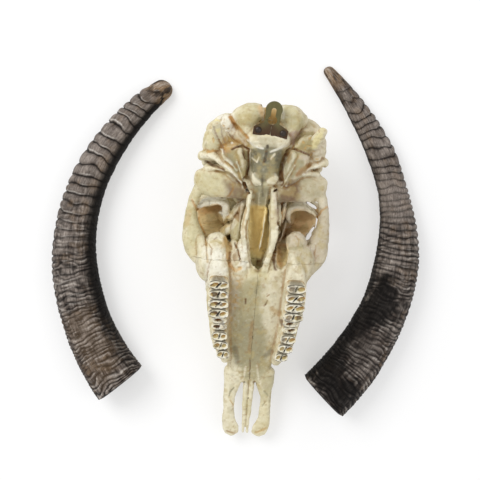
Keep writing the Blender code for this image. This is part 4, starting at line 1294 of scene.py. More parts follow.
def part_off(body, name, low, high, tilt=0.0):
    """Takes what lies in a block off the body as a bone of its own."""
    piece = object_from(name, body.data.copy())
    half = GAP / 2
    cut(piece, block(np.add(low, half), np.subtract(high, half), tilt), "INTERSECT")
    cut(body, block(np.subtract(low, half), np.add(high, half), tilt), "DIFFERENCE")
    return piece


def heal_paint(mesh):
    """New points on a cut have no paint yet, so they take the mean of painted neighbours, in rounds."""
    flat, painted = np.empty(len(mesh.vertices) * 4), np.empty(len(mesh.vertices))
    mesh.attributes["paint"].data.foreach_get("color", flat)
    mesh.attributes["painted"].data.foreach_get("value", painted)
    rgb = flat.reshape(-1, 4)[:, :3] * painted[:, None]
    edges = edges_of(mesh)
    for _ in range(HEAL_ROUNDS):
        known = neighbour_sums(painted[:, None], edges)[:, 0]
        fill = (painted == 0) & (known > 0)
        rgb[fill] = neighbour_sums(rgb, edges)[fill] / known[fill, None]
        painted[fill] = 1
    set_paint(mesh, rgb)
    mesh.attributes["painted"].data.foreach_set("value", painted)


print("wobble at the skull's origin:", wobble(np.zeros((1, 3))).round(2), "mm")

# %% [markdown]
# The nasal bones first get a bed, cut a gap wider than they are. Then blocks take off, on each
# side, the bone at the tip of the jaw, the upper jaw and the cheek bone, and last the forehead.
# What is left is the cranium.

# %% Part the bones
NASAL = (
    (0, 73, -50, 12, 3),
    (0, 84, -52.5, 16.5, 4),
    (0, 110, -58.5, 18.5, 5),
    (0, 150, -72, 18, 5.5),
    (0, 188, -85, 15, 5.5),
    (0, 206, -91, 9, 5),
)
PREMAXILLA_REAR, PREMAXILLA_TILT = 72, 28.6
MAXILLA_REAR, MAXILLA_TILT = 230.4, -13.3
CHEEK = (61.5, 224, 296, -51)
FRONTAL = (205, 322, -90)
bed = [(a, b, c, w + GAP, h + GAP) for a, b, c, w, h in NASAL]
skull.data.attributes.new("painted", "FLOAT", "POINT").data.foreach_set("value", np.ones(len(points)))
cut(skull, object_of_skins("bed", [tube(bed, square=2.4)]), "DIFFERENCE")
heal_paint(skull.data)
set_points(skull.data, points_of(skull.data) + wobble(points_of(skull.data)))
bones = {}
for side, word in SIDES:
    low, high = sorted((0, side * WIDE))
    rear = (high, PREMAXILLA_REAR, WIDE)
    bones["premaxilla_" + word] = part_off(skull, "premaxilla", (low, -WIDE, -WIDE), rear, PREMAXILLA_TILT)
    rear = (high, MAXILLA_REAR, WIDE)
    bones["maxilla_" + word] = part_off(skull, "maxilla", (low, -WIDE, -WIDE), rear, MAXILLA_TILT)
    low, high = sorted((side * CHEEK[0], side * WIDE))
    front, rear = (low, CHEEK[1], CHEEK[3]), (high, CHEEK[2], WIDE)
    bones["zygomatic_" + word] = part_off(skull, "zygomatic", front, rear)
bones["frontal"] = part_off(skull, "frontal", (-WIDE, FRONTAL[0], -WIDE), (WIDE, FRONTAL[1], FRONTAL[2]))
bones["cranium"] = skull
for name, piece in bones.items():
    set_points(piece.data, unwobbled(points_of(piece.data)))
    heal_paint(piece.data)
    print(name, triangles(piece), "triangles")

# %% [markdown]
# ## The nasal bones
# The bridge of the nose is two long thin bones, grown together here. It lies in a groove of its
# own that was cut above, so it needs no parting: it is one flat bar, with low relief.

# %% Nasals
nasals = object_of_skins("nasals", [tube(NASAL, square=2.4, sides=96, per_span=24)])
p = points_of(nasals.data)
p += points_of(nasals.data, "normal") * (0.4 * noise(p, 9, 51, 3))[:, None]
set_points(nasals.data, p)
set_paint(nasals.data, np.tile(PALETTE["cream"], (len(p), 1)) * (1 + 0.2 * noise(p, 12, 52, 3))[:, None])
bones["nasals"] = nasals
print("nasals:", triangles(nasals), "triangles")

# %% [markdown]
# ## Cheek teeth
# An antelope's cheek teeth wear flat. On the worn face of each lobe white enamel stands up round
# two hollows of brown dentine, a slit of dark cement runs between them, and grey cement packs the
# gaps from lobe to lobe. Each lobe is a wall that rises and then closes over its own face, and
# the hollows are sums of soft ovals in the two numbers u, across the row, and v, along it.

# %% Teeth
GUM_LINE = 4.5
LOBE_TURNS, FACE_RINGS = 84, 34
LOBE_SQUARE, FACE_SIZE = 2.7, 0.97
TEETH = (
    (122.5, 11.0, 15.5, 9.5, 1, "worn"),
    (135.0, 12.0, 18.0, 11.5, 1, "worn"),
    (147.5, 12.0, 18.5, 12.0, 1, "worn"),
    (162.5, 16.5, 18.5, 8.5, 2, "new"),
    (183.5, 24.0, 24.0, 14.0, 2, "worn"),
    (208.0, 24.0, 23.5, 14.5, 2, "worn"),
)


def row_line(y):
    """How far from the midline the middle of the tooth row is."""
    return np.interp(y, (116, 122, 134, 147, 162, 183, 220), (33, 34.8, 38.4, 40.8, 42, 44.7, 45.3))


def oval_mask(u, v, centre, half, slant=0.0):
    """1 inside an oval and 0 outside, soft at its rim; slant leans it."""
    du, dv = (u - centre[0] - slant * v) / half[0], (v - centre[1]) / half[1]
    return soft(np.sqrt(du**2 + dv**2), 1.15, 0.8)


def lobe(at, half_long, half_wide, height, side, kind):
    """Rings and tones of a lobe: rings climb its wall and then shrink over its face."""
    chance = np.random.default_rng(int(at[1] * 10) + side)
    c, s = oval(LOBE_TURNS, LOBE_SQUARE)
    wall = np.array([(-9, 0.80), (-3, 0.9), (0.3 * height, 0.97), (0.75 * height, 1.0), (height - 0.7, 1.0)])
    face = np.linspace(1, 0.02, FACE_RINGS)
    rise = np.concatenate([wall[:, 0], np.full(FACE_RINGS, height)])[:, None]
    size = np.concatenate([wall[:, 1], face * FACE_SIZE])[:, None]
    u, v = size * c, size * s
    worn = (np.arange(len(size)) >= len(wall))[:, None] * np.ones(LOBE_TURNS)
    lean = chance.uniform(0.1, 0.45) * side
    outer = oval_mask(u, v, (0.46 + chance.uniform(-0.05, 0.05), 0.05), (0.36, 0.52), lean)
    inner = oval_mask(u, v, (-0.46 + chance.uniform(-0.05, 0.05), 0.05), (0.28, 0.46), lean)
    slit = oval_mask(u, v, (0.0, 0.0), (0.11, 0.7), lean)
    rim = soft(size, 0.8, 0.94) * worn
    cement = rim * soft(abs(v), 0.45, 0.7)
    flat = side * (at[0] + u * half_wide), at[1] + v * half_long, rise + at[2]
    at_face = np.stack(np.broadcast_arrays(*flat), axis=-1)
    rough = noise(at_face.reshape(-1, 3), 2.2, 71, 3).reshape(u.shape)
    coarse = noise(at_face.reshape(-1, 3), 5, 72, 2).reshape(u.shape)
    crypt = 0 * u
    if kind == "new":
        crypt = oval_mask(u, v, (chance.uniform(-0.4, 0.4), 0.1), (0.42, 0.5), lean)
        outer, inner, slit = outer * 0.2, inner * 0.2, slit * soft(coarse, -0.1, 0.4) * 0.4
        cement = cement * 0.2
    relief = worn * (0.6 - 1.2 * outer - 1.1 * inner - 2.0 * slit - 1.0 * cement + 0.7 * rough + 0.5 * coarse)
    relief -= worn * 3.0 * crypt
    tilt = worn * side * chance.uniform(-0.5, 0.5) * u + worn * chance.uniform(-0.5, 0.5) * v
    rings = at_face + (0.35 * rough)[..., None] * np.stack([c + 0 * u, s + 0 * u, 0 * u], axis=-1)
    rings[..., 2] += relief + tilt
    shade = np.tile(np.asarray(PALETTE["ivory"], float), (*u.shape, 1))
    inner_side = soft(u, 0.1, -0.3)
    for name, mask in (
        ("white", worn * soft(rough, -0.2, 0.4)),
        ("khaki", worn * np.maximum(outer, inner)),
        ("umber", worn * np.maximum(outer, inner) * soft(v + 0.5 * rough, -0.25, 0.35) * 0.85),
        ("brown", worn * np.maximum(outer, inner) * soft(coarse, 0.0, 0.5) * 0.7),
        ("lilac", worn * inner_side * soft(coarse, 0.0, 0.5) * 0.6),
        ("umber", worn * crypt),
        ("brown", worn * crypt * soft(rough, -0.4, 0.4)),
        ("coal", worn * cement),
        ("ink", worn * slit * soft(rough, -0.8, 0.1)),
        ("coal", worn * soft(rough + coarse, 0.25, 0.8) * 0.5),
        ("slate", worn * soft(coarse - rough, 0.3, 1.0) * 0.4),
        ("tan", (1 - worn) * soft(-rise / height + 0.4 * coarse, -0.7, 0.1) * 0.8),
        ("umber", (1 - worn) * soft(abs(rough), 0.12, 0.0) * 0.6),
        ("coal", (1 - worn) * soft(abs(v), 0.75, 0.95) * 0.6),
    ):
        shade += (PALETTE[name] - shade) * np.clip(mask, 0, 1)[..., None]
    return rings, shade


def tooth_row(side, word):
    """A row of lobes as one mesh: each tooth's lobes stand one step apart along the row's line."""
    rings, shades = [], []
    for y, long, wide, height, lobes, kind in TEETH:
        step = long / lobes
        for k in range(lobes):
            at = y + (k - (lobes - 1) / 2) * step
            r, shade = lobe((row_line(at), at, GUM_LINE), step / 2 - GAP, wide / 2, height, side, kind)
            rings.append(r)
            ends = np.stack([shade[0].mean(axis=0), shade[-1].mean(axis=0)])
            shades.append(np.vstack([shade.reshape(-1, 3), ends]))
    obj = object_of_skins("teeth_" + word, rings)
    set_points(obj.data, uneven(points_of(obj.data)))
    set_paint(obj.data, np.vstack(shades))
    return obj


for side, word in SIDES:
    bones["teeth_" + word] = tooth_row(side, word)
    print("teeth", word, len(bones["teeth_" + word].data.polygons), "faces")

# %% [markdown]
# ## From the skull's frame to the floor
# All bones so far are in the skull's own millimetres. The pose now goes into their points, not
# onto their objects, so that every finished object sits unturned at the origin. The sawn horn
# cores and the tips of the nasals are then trimmed level with the floor. The cranium is first
# made lighter: a mesh this dense can lose over a quarter of its triangles and keep its look.

# %% Into the world
MOST_TRIANGLES = 194000
UNDER_FLOOR = ((-0.6, -0.6, -0.2), (0.6, 0.6, 0))


def thin(obj, most):
    """Collapses the edges that shape it least, until a piece has no more than so many triangles."""
    if triangles(obj) > most:
        step = obj.modifiers.new("thin", "DECIMATE")
        step.ratio = most / triangles(obj)
        bake_modifiers(obj)


for obj in bones.values():
    thin(obj, MOST_TRIANGLES)
    set_points(obj.data, to_world(points_of(obj.data)))
print("cranium thinned to", triangles(bones["cranium"]), "triangles")
for name in ("frontal", "nasals"):
    cut(bones[name], block(*UNDER_FLOOR), "DIFFERENCE")
for obj in bones.values():
    obj.data.shade_smooth()

# %% [markdown]
# ## Horn sheaths
# A horn sheath is a hollow cone of keratin that grew in rings and curls over. Its middle line has
# a heading that turns steadily, and an oval is carried along it. Towards the tip the rings are
# rolls with a lip, painted pale on its outer side as a highlight, and a crease painted black as
# shade; towards the base they fade into bark-like wrinkles, with painted shade in their furrows
# and painted highlights on their ridges.

# %% Sizes and fields of the horns
HORN_FLATNESS = 0.9
HORN_SINK = 1.0
HORN_WALL = 4.5
HORN_CAVITY, CAVITY_TAPER, CAVITY_END = 0.45, 1.3, 0.72
HORN_ROWS, HORN_SIDES = 620, 128
HORN_LINE_STEPS = 2000
HORN_LOW = ((0, 1), (0.3, 0.9), (0.45, 0.55), (0.6, 0.1))
HORNS = {
    "horn_left": {
        "base": (-143.0, -166.0),
        "length": 431.0,
        "outer": -1,
        "headings": ((0, -38), (0.33, -9), (0.67, 28), (1, 54)),
        "half_widths": (
            (0, 34), (0.2, 30), (0.35, 28.6), (0.5, 25.3), (0.68, 21.8), (0.81, 18.6),
            (0.91, 15.4), (1, 12.0),
        ),
        "tip": 12.0,
        "ring_depth": 2.6,
        "ring_spacing": ((0, 5), (0.2, 5.5), (0.4, 7.5), (0.58, 9), (0.66, 15), (1, 17)),
        "ring_strength": ((0, 0.1), (0.25, 0.4), (0.5, 0.6), (0.62, 1), (0.93, 1), (0.97, 0)),
        "slant": -0.2,
        "arch": 0.15,
        "lip": 1.0,
        "shade": (0.4, 0.8),
        "base_shade": 0.4,
    },
    "horn_right": {
        "base": (108.5, -182.0),
        "length": 466.0,
        "outer": 1,
        "headings": ((0, 47), (0.25, 27), (0.5, -1), (0.75, -26), (1, -39)),
        "half_widths": (
            (0, 34.5), (0.1, 34), (0.27, 30), (0.42, 27.8), (0.52, 22.6), (0.62, 17.9),
            (0.72, 17.6), (0.81, 14.8), (0.91, 10.6), (0.955, 8.5), (1, 6.0),
        ),
        "tip": 6.5,
        "ring_depth": 1.9,
        "ring_spacing": ((0, 5), (0.3, 5.5), (0.55, 6), (0.6, 9), (0.68, 11), (0.75, 14), (1, 15)),
        "ring_strength": ((0, 0.1), (0.3, 0.3), (0.42, 0.8), (0.86, 1), (0.93, 0)),
        "slant": -0.24,
        "arch": 0.3,
        "lip": 0.3,
        "shade": (0.8, 1.05),
        "base_shade": 0.97,
    },
}
HORN_LEVELS = (15, 90)
HORN_EDGE, HORN_RAGGED = 7.0, 6.0
HORN_FIELDS = {
    "horn_left": (
        ("tawny", 0.2, (62, 315, 88, 305, 104, 335, 120, 362, 104, 392, 84, 370, 68, 340)),
    ),
    "horn_right": (
        # Soot over the lower inner half of the right horn is painted shade, and partly the horn's own dark
        # colour.
        ("soot", 0.94, (
            376, 272, 392, 276, 402, 300, 392, 320, 372, 330, 350, 345, 348, 372, 364, 392, 338, 418,
            305, 374, 340, 330, 362, 300)),
        ("bark", 0.3, (352, 336, 366, 328, 386, 336, 386, 352, 366, 366, 354, 362)),
        ("soot", 0.45, (338, 330, 366, 322, 378, 340, 372, 362, 348, 362)),
        ("ash", 0.3, (378, 180, 396, 176, 416, 184, 416, 216, 400, 224, 384, 216)),
    ),
}
print("horn sheaths:", {name: horn["length"] for name, horn in HORNS.items()}, "mm long")

# %% [markdown]
# Noise on a horn is read from a cylinder of noise, so that it has no seam: few cells round it and
# short ones along it give wrinkles across the horn, and many cells round it give fibres along it.

# %% Middle line, width and noise of a sheath
HORN_ANGLE = circle(HORN_SIDES)[None]
ROUND_C, ROUND_S = np.cos(HORN_ANGLE), np.sin(HORN_ANGLE)


def ways_of(turn):
    """On the floor, for each heading: which way is ahead along the horn, and out across it."""
    return np.column_stack([np.sin(turn), np.cos(turn)]), np.column_stack([np.cos(turn), -np.sin(turn)])


def horn_line(horn, f):
    """Middle of the sheath on the floor, and its heading: the heading's sine and cosine, summed."""
    fine = np.linspace(0, 1, HORN_LINE_STEPS + 1)
    turn = np.radians(np.interp(fine, *zip(*horn["headings"])))
    step = ways_of(turn)[0] * horn["length"] / HORN_LINE_STEPS
    run = np.vstack([[0, 0], np.cumsum((step[1:] + step[:-1]) / 2, axis=0)]) + horn["base"]
    place = np.column_stack([np.interp(f, fine, run[:, k]) for k in range(2)])
    return place, np.interp(f, fine, turn)


def horn_width(horn, f):
    """Half width along the horn, closed by a round tip: w * sqrt(1 - t * t) over the last stretch."""
    wide = np.interp(f, *zip(*horn["half_widths"]))
    round_from = 1 - horn["tip"] / horn["length"]
    t = np.clip((f - round_from) / (1 - round_from), 0, 1)
    return wide * np.sqrt(np.maximum(1 - t**2, 0.0))


def grain(along, cells, onward, seed, octaves=1):
    """Noise on the sheath: so many cells round it, each so many millimetres long."""
    r = cells / (2 * math.pi)
    at = np.stack(np.broadcast_arrays(ROUND_C * r, ROUND_S * r, along / onward), axis=-1)
    return noise(at.reshape(-1, 3), 1.0, seed, octaves).reshape(len(along), HORN_SIDES)


def near_line(value, width):
    """1 where a value is zero, and falling to 0 over a width."""
    return np.exp(-((value / width) ** 2))


def cavity(horn, f, crest):
    """Rings back inside, smaller by a wall that thickens from the mouth by a power of the way in."""
    deep = int(HORN_ROWS * HORN_CAVITY)
    back = f[::-1][:deep:3]
    place, turn = horn_line(horn, back)
    wide = horn_width(horn, back)
    wall = HORN_WALL + (wide * CAVITY_END - HORN_WALL) * (back / HORN_CAVITY) ** CAVITY_TAPER
    _, out = ways_of(turn)
    flat = place[:, None] + out[:, None] * ((wide - wall)[:, None] * ROUND_C)[..., None]
    middle = np.interp(back, f[::-1], crest[::-1, 0])[:, None]
    level = middle + (wide * HORN_FLATNESS - wall)[:, None] * ROUND_S - HORN_SINK
    return np.concatenate([flat, level[..., None]], axis=-1)


print("mouth of the left horn:", horn_line(HORNS["horn_left"], np.zeros(1))[0].round(1), "mm")

# %% [markdown]
# Rings are counted from the tip: each step along the horn adds its length over the spacing there.
# The share left over after the whole rings says how far across a ring a point lies, so a roll, a
# crease and a lip are each a curve of that share, and so are their tones.

# %% Making a sheath
CREASE_AT, LIP_AT = 0.03, 0.86


def sheath(name, horn):
    """Rings outside, then back inside: centre + out * half width * cos + up * half height * sin."""
    f = np.linspace(0.9995, 0, HORN_ROWS)

    def graded(stops):
        """A number for each ring, from pairs of how far along the horn and how much."""
        return np.interp(f, *zip(*stops))[:, None]

    place, turn = horn_line(horn, f)
    ahead, out = ways_of(turn)
    along = (f * horn["length"])[:, None]
    outward = horn["outer"] * ROUND_C
    regular = graded(horn["ring_spacing"])
    spacing = regular * (1 + 0.4 * grain(along, 0.1, 34, 60))
    count = np.cumsum((horn["length"] / HORN_ROWS / spacing).mean(axis=1))[:, None]
    count = count + horn["slant"] * outward - horn["arch"] * ROUND_S + 0.4 * grain(along, 7, 22, 61, 2)
    share = count - np.floor(count)
    strength = graded(horn["ring_strength"])
    roll = np.sin(np.pi * share) ** 0.7
    narrow = 1.1 / regular
    crease = near_line(share - CREASE_AT, narrow) + near_line(share - (1 + CREASE_AT), narrow)
    lip = horn["lip"] * near_line(share - LIP_AT, 0.06) * soft(grain(along, 9, 12, 62, 2), -0.6, 0.3)
    bark = along / 5.8 + 1.3 * grain(along, 5, 34, 67, 2) + 0.55 * grain(along, 16, 9, 63, 2)
    bark = bark - np.floor(bark)
    wrinkled = soft(grain(along, 12, 14, 68, 2), -0.9, 0.0)
    wrinkle = near_line(bark - 0.5, 0.15) * wrinkled
    ridge = near_line(bark - 0.15, 0.16) * soft(grain(along, 22, 7, 69, 2), -0.3, 0.5)
    hair = grain(along, 90, 14, 64, 2)
    mottle = grain(along, 12, 14, 65, 3)
    low = graded(HORN_LOW)
    side_strength = 0.6 + 0.4 * outward
    grow = horn["ring_depth"] * strength * side_strength * (roll - 0.55 + 0.3 * lip - 0.3 * crease)
    grow = grow + 0.35 * mottle - low * (1.0 * wrinkle - 0.3 * ridge - 0.25 * hair)
    wide = horn_width(horn, f)[:, None]
    w = wide + grow * np.clip(wide / 10, 0, 1)
    crest = (wide + horn["ring_depth"] * strength / 2) * HORN_FLATNESS
    edge = 3.2 * grain(along, 6, 900, 66, 2) * graded(((0, 1), (0.03, 0)))
    flat = place[:, None] + out[:, None] * (w * ROUND_C)[..., None] + ahead[:, None] * edge[..., None]
    level = np.maximum(crest + w * HORN_FLATNESS * ROUND_S - HORN_SINK, 0)
    outer = np.concatenate([flat, level[..., None]], axis=-1)
    obj = object_of_skins(name + "_sheath", [np.concatenate([outer, cavity(horn, f, crest)])])
    at = points_of(obj.data)
    skin = Canvas(at, at, "soot")
    count_out = HORN_ROWS * HORN_SIDES

    def tint(tone, mask):
        """Tints the outside only: the rings inside keep the canvas's own tone."""
        whole = np.zeros(len(at))
        whole[:count_out] = np.broadcast_to(mask, w.shape).ravel()
        skin.tint(tone, whole)

    line = np.maximum(strength, 0.75 * (1 - low))
    tint("bark", 1.0)
    tint("ash", 0.6 * soft(mottle, -0.1, 0.8))
    tint("tawny", 0.4 * soft(-mottle, 0.1, 0.7))
    tint("ash", 0.5 * roll**2 * strength)
    tint("ash", 0.5 * soft(hair, 0.0, 0.6) * (0.5 + 0.5 * low))
    tint("soot", 0.6 * soft(-hair, 0.1, 0.7) * (0.4 + 0.6 * low))
    # Ash and chalk on the ridges of the wrinkles are painted highlight, and soot in their furrows painted
    # shade.
    tint("ash", 0.95 * ridge * low)
    tint("chalk", 0.75 * ridge * low * soft(hair, -0.3, 0.3))
    tint("soot", 0.97 * near_line(bark - 0.5, 0.21) * wrinkled * low)
    # Chalk on the lip, on the outer side only, is a painted highlight; soot in the crease is painted shade.
    tint("chalk", 0.9 * lip * line * soft(outward, -0.5, 0.2))
    tint("soot", 0.97 * crease * line)
    # Soot along the inner side is painted shade, and partly the horn's own darker colour; the left horn has
    # less of it at its base.
    shade = graded(((0.05, horn["base_shade"]), (0.22, 0.97)))
    tint("soot", shade * soft(-outward, *horn["shade"]))
    tint("soot", 0.6 * soft(outward, 0.85, 1.0))
    tint("tawny", 0.85 * graded(((0.92, 0), (0.96, 1))) * soft(mottle, -0.5, 0.2))
    tint("chalk", 0.4 * graded(((0.94, 0), (0.97, 1))) * soft(hair + mottle, 0.1, 0.8))
    tint("soot", 0.6 * graded(((0.88, 0), (0.94, 1))) * soft(-mottle, 0.2, 0.5))
    for tone, amount, pixels in HORN_FIELDS[name]:
        skin.field(tone, amount, *HORN_LEVELS, pixels, HORN_EDGE, HORN_RAGGED)
    set_paint(obj.data, skin.colour)
    set_points(obj.data, at * MM)
    lay = np.zeros((len(at), 3))
    lay[:count_out] = np.stack(np.broadcast_arrays(w * ROUND_C, w * ROUND_S, along), axis=-1).reshape(-1, 3)
    obj.data.attributes.new("lay", "FLOAT_VECTOR", "POINT").data.foreach_set("vector", lay.ravel() * MM)
    obj.data.shade_smooth()
    print(name, len(obj.data.polygons), "faces")
    return obj


horns = {name: sheath(name, horn) for name, horn in HORNS.items()}

# %% [markdown]
# ## The hanger plate
# A museum hangs a skull on a small brass plate with a keyhole, screwed to the back of the head.

# %% Sizes of the plate, and rays out of its outlines
PLATE_PLACE = Vector((2.9, 386.2, -29.5))
PLATE_TURN = math.radians(-4.8)
PLATE_THICK = 1.6
FOOT_HALF, FOOT_DEEP = 20.0, 4.8
WAIST_HALF = 8.8
HEAD_Y, HEAD_R = 26.6, 9.7
KEYHOLE_Y, KEYHOLE_R = 14.2, 5.3
SLOT_HALF, SLOT_END = 2.8, 28.6
PLATE_FRAME = POSE @ Matrix.Translation(PLATE_PLACE) @ Matrix.Rotation(PLATE_TURN, 4, "Z")


def from_plate(points):
    """Plate millimetres to world metres."""
    turn, shift = np.array(PLATE_FRAME.to_3x3()), np.array(PLATE_FRAME.translation)
    return (points @ turn.T + shift) * MM


def exit_of_convex(corners, d):
    """How far a ray from the keyhole's middle goes to leave a convex outline; 0 where it misses it."""
    corners = np.array(corners, float) - (0, KEYHOLE_Y)
    run = np.roll(corners, -1, axis=0) - corners
    normal = np.stack([run[:, 1], -run[:, 0]], axis=-1)
    facing = d @ normal.T
    reach = (corners * normal).sum(axis=1) / np.where(abs(facing) < 1e-9, 1e-9, facing)
    leave = np.where(facing > 0, reach, np.inf).min(axis=1)
    enter = np.where(facing < 0, reach, -np.inf).max(axis=1)
    return np.where((leave > enter) & (leave > 0), leave, 0)


def exit_of_disc(centre_y, radius, d):
    """The same for a circle on the middle line: the larger root of its quadratic."""
    along = d[:, 1] * (centre_y - KEYHOLE_Y)
    under = radius**2 - (centre_y - KEYHOLE_Y) ** 2 + along**2
    return np.where(under > 0, along + np.sqrt(np.maximum(under, 0)), 0)


print("middle of the keyhole:", from_plate(np.array((0, KEYHOLE_Y, 0))).round(3), "m")

# %% [markdown]
# The plate's rim is the furthest that a ray from the keyhole's middle gets in any of its shapes:
# neck, foot and round head. The keyhole is the same for a disc and a slot. Six loops between the
# two outlines, with a small bevel on the upper side, are joined into a closed skin.

# %% Plate
BEVEL, FOOT_PEAK = 0.35, 15
FOOT_RUST = (12, 7)
PLATE_WAYS = 288
turn = circle(PLATE_WAYS)
ways = np.stack([np.cos(turn), np.sin(turn)], axis=-1)
neck = ((WAIST_HALF, 0), (WAIST_HALF, HEAD_Y), (-WAIST_HALF, HEAD_Y), (-WAIST_HALF, 0))
foot = (
    (FOOT_HALF, -FOOT_DEEP), (FOOT_HALF, FOOT_DEEP), (0, FOOT_PEAK),
    (-FOOT_HALF, FOOT_DEEP), (-FOOT_HALF, -FOOT_DEEP),
)
slot_end = SLOT_END - SLOT_HALF
slot_box = (
    (SLOT_HALF, KEYHOLE_Y - 1), (SLOT_HALF, slot_end), (-SLOT_HALF, slot_end), (-SLOT_HALF, KEYHOLE_Y - 1),
)
rim = np.max([
    exit_of_convex(neck, ways),
    exit_of_convex(foot, ways),
    exit_of_disc(HEAD_Y, HEAD_R, ways),
], axis=0)
key = np.max([
    np.full(len(turn), KEYHOLE_R),
    exit_of_convex(slot_box, ways),
    exit_of_disc(slot_end, SLOT_HALF, ways),
], axis=0)


def loop_at(radius, level):
    """A closed line round the keyhole's middle, at one height, with its own reach in every way."""
    return np.column_stack([ways * radius[:, None] + (0, KEYHOLE_Y), np.full(len(ways), level)])


loops = np.stack([
    loop_at(rim, 0.0),
    loop_at(rim, PLATE_THICK - BEVEL),
    loop_at(rim - BEVEL, PLATE_THICK),
    loop_at(key + BEVEL, PLATE_THICK),
    loop_at(key, PLATE_THICK - BEVEL),
    loop_at(key, 0.0),
])
grid = np.arange(loops.shape[0] * len(turn)).reshape(loops.shape[0], -1)
across, onward = np.roll(grid, -1, axis=1), np.roll(grid, -1, axis=0)
quads = np.stack([grid, across, np.roll(across, -1, axis=0), onward], axis=-1).reshape(-1, 4)
plate = object_from("keyhole_plate", mesh_from("keyhole_plate", from_plate(loops.reshape(-1, 3)), quads))
face_outwards(plate.data)
on_foot = soft(loops[..., 1].ravel(), *FOOT_RUST)[:, None]
set_paint(plate.data, PALETTE["verdigris"] * (1 - on_foot) + PALETTE["rust"] * on_foot)
print("plate:", len(plate.data.polygons), "faces")

# %% [markdown]
# A screw is one profile, of radius and height, that is turned round its axis.

# %% Screws
SCREW_X, SCREW_Y, SCREW_R, SCREW_DEEP, SHANK_R = 14.3, 1.2, 3.7, 9.0, 1.6
SCREW_EDGE, SCREW_DOME = 0.2, 0.62
SCREW_SIDES, SCREW_ROWS = 48, 14


def screw(name, x):
    """A turned screw: its profile of radius and height, carried round its axis."""
    top = PLATE_THICK + GAP
    dome = np.radians(np.linspace(0, 86, SCREW_ROWS))
    edge = top + SCREW_EDGE
    rise = SCREW_R * SCREW_DOME - SCREW_EDGE
    profile = [(SHANK_R, -SCREW_DEEP), (SHANK_R, top), (SCREW_R - SCREW_EDGE, top), (SCREW_R, edge)]
    profile += [(SCREW_R * math.cos(a), edge + rise * math.sin(a)) for a in dome]
    r, z = np.array(profile).T[:, :, None]
    angle = circle(SCREW_SIDES)
    rings = np.stack([x + r * np.cos(angle), SCREW_Y + r * np.sin(angle), z + 0 * angle], axis=-1)
    obj = object_of_skins(name, [rings])
    set_points(obj.data, from_plate(points_of(obj.data)))
    obj.data.shade_smooth()
    return obj


screws = {word: screw("round_screw_" + word, side * SCREW_X) for side, word in SIDES}
print("screws:", {word: triangles(obj) for word, obj in screws.items()}, "triangles")

# %% [markdown]
# ## Shader sums
# A material is a net of nodes. Written as Python sums it reads like the recipe it is.

# %% Socket class
class Value:
    """A number socket; sums with it add Math nodes to the same material."""

    def __init__(self, finish, socket):
        self.finish, self.socket = finish, socket

    def sum(self, operation, a, b):
        """A Math node on two numbers or sockets."""
        return self.finish.node("Math", {"operation": operation}, {0: a, 1: b})

    def __add__(self, other):
        return self.sum("ADD", self, other)

    def __sub__(self, other):
        return self.sum("SUBTRACT", self, other)

    def __rsub__(self, other):
        return self.sum("SUBTRACT", other, self)

    def __mul__(self, other):
        return self.sum("MULTIPLY", self, other)

    __radd__, __rmul__ = __add__, __mul__


class Finish:
    """A material being made."""

    def __init__(self, name):
        self.material = bpy.data.materials.new(name)
        self.material.use_nodes = True
        self.tree = self.material.node_tree
        self.shader = self.tree.nodes["Principled BSDF"]

    def node(self, kind, settings=None, sockets=None, out=0):
        """Adds a node: its settings first, then a value or a link for each socket."""
        made = self.tree.nodes.new("ShaderNode" + kind)
        for name, value in (settings or {}).items():
            setattr(made, name, value)
        for key, value in (sockets or {}).items():
            self.feed(made.inputs[key], value)
        return Value(self, made.outputs[out])

    def feed(self, socket, value):
        """Links a value to a socket, or sets the socket to a plain number or colour."""
        if isinstance(value, Value):
            self.tree.links.new(value.socket, socket)
        else:
            socket.default_value = value

    def mix(self, mask, a, b, way="MIX"):
        """From one colour to another by a mask; the way MULTIPLY darkens by the second instead."""
        settings = {"data_type": "RGBA", "blend_type": way}
        return self.node("Mix", settings, {"Factor": mask, 6: a, 7: b}, out=2)

    def attribute(self, name, out="Color"):
        """What is stored at the points of the mesh under a name."""
        return self.node("Attribute", {"attribute_name": name}, out=out)

    def noise(self, where, scale, detail=3, rough=0.6):
        """Soft noise, 0 to 1, with so many cells to the metre."""
        sockets = {"Vector": where, "Scale": scale, "Detail": detail, "Roughness": rough}
        return self.node("TexNoise", None, sockets)

    def bump(self, height, distance, strength, under=None):
        """Relief by shading: a height in 0 to 1 stands for a distance in metres."""
        sockets = {"Strength": strength, "Distance": distance, "Height": height}
        if under:
            sockets["Normal"] = under
        return self.node("Bump", None, sockets)

    def surface(self, **sockets):
        """Feeds the shader's sockets by their names, and hands over the material."""
        for key, value in sockets.items():
            self.feed(self.shader.inputs[key.replace("_", " ").title().replace("Ior", "IOR")], value)
        return self.material


def rgba(rgb):
    """A colour with full cover, as sockets want it."""
    return (*rgb, 1.0)


print("classes of a material:", Finish.__name__, "and", Value.__name__)

# %% [markdown]
# ## Finishes
# Dry bone is matt with a fine grain, so its gloss is set low, or a haze would lift the dark pits.
# Horn shows fibres that run along it: the noise reads the sheath's own coordinates, stretched
# lengthwise. The brass has tarnished in patches, and the screws are nearly black.

# %% Bone, horn and metal finishes
MATT = 0.22
AGED, GRIME = rgba((0.76, 0.70, 0.56)), rgba((0.52, 0.46, 0.34))


def bone_finish():
    """The paint, darkened by broad patches and by a fine grain, with both as relief."""
    f = Finish("bone")
    where = f.node("TexCoord", out="Object")
    fine = f.noise(where, 900, 4)
    broad = f.noise(where, 180, 3)
    tone = f.mix(0.7 * broad, f.attribute("paint"), AGED, "MULTIPLY")
    tone = f.mix(0.35 * fine, tone, GRIME, "MULTIPLY")
    relief = f.bump(fine, 0.0006, 0.6, f.bump(broad, 0.001, 0.5))
    return f.surface(base_color=tone, roughness=0.5 + 0.25 * broad, normal=relief, specular_ior_level=MATT)


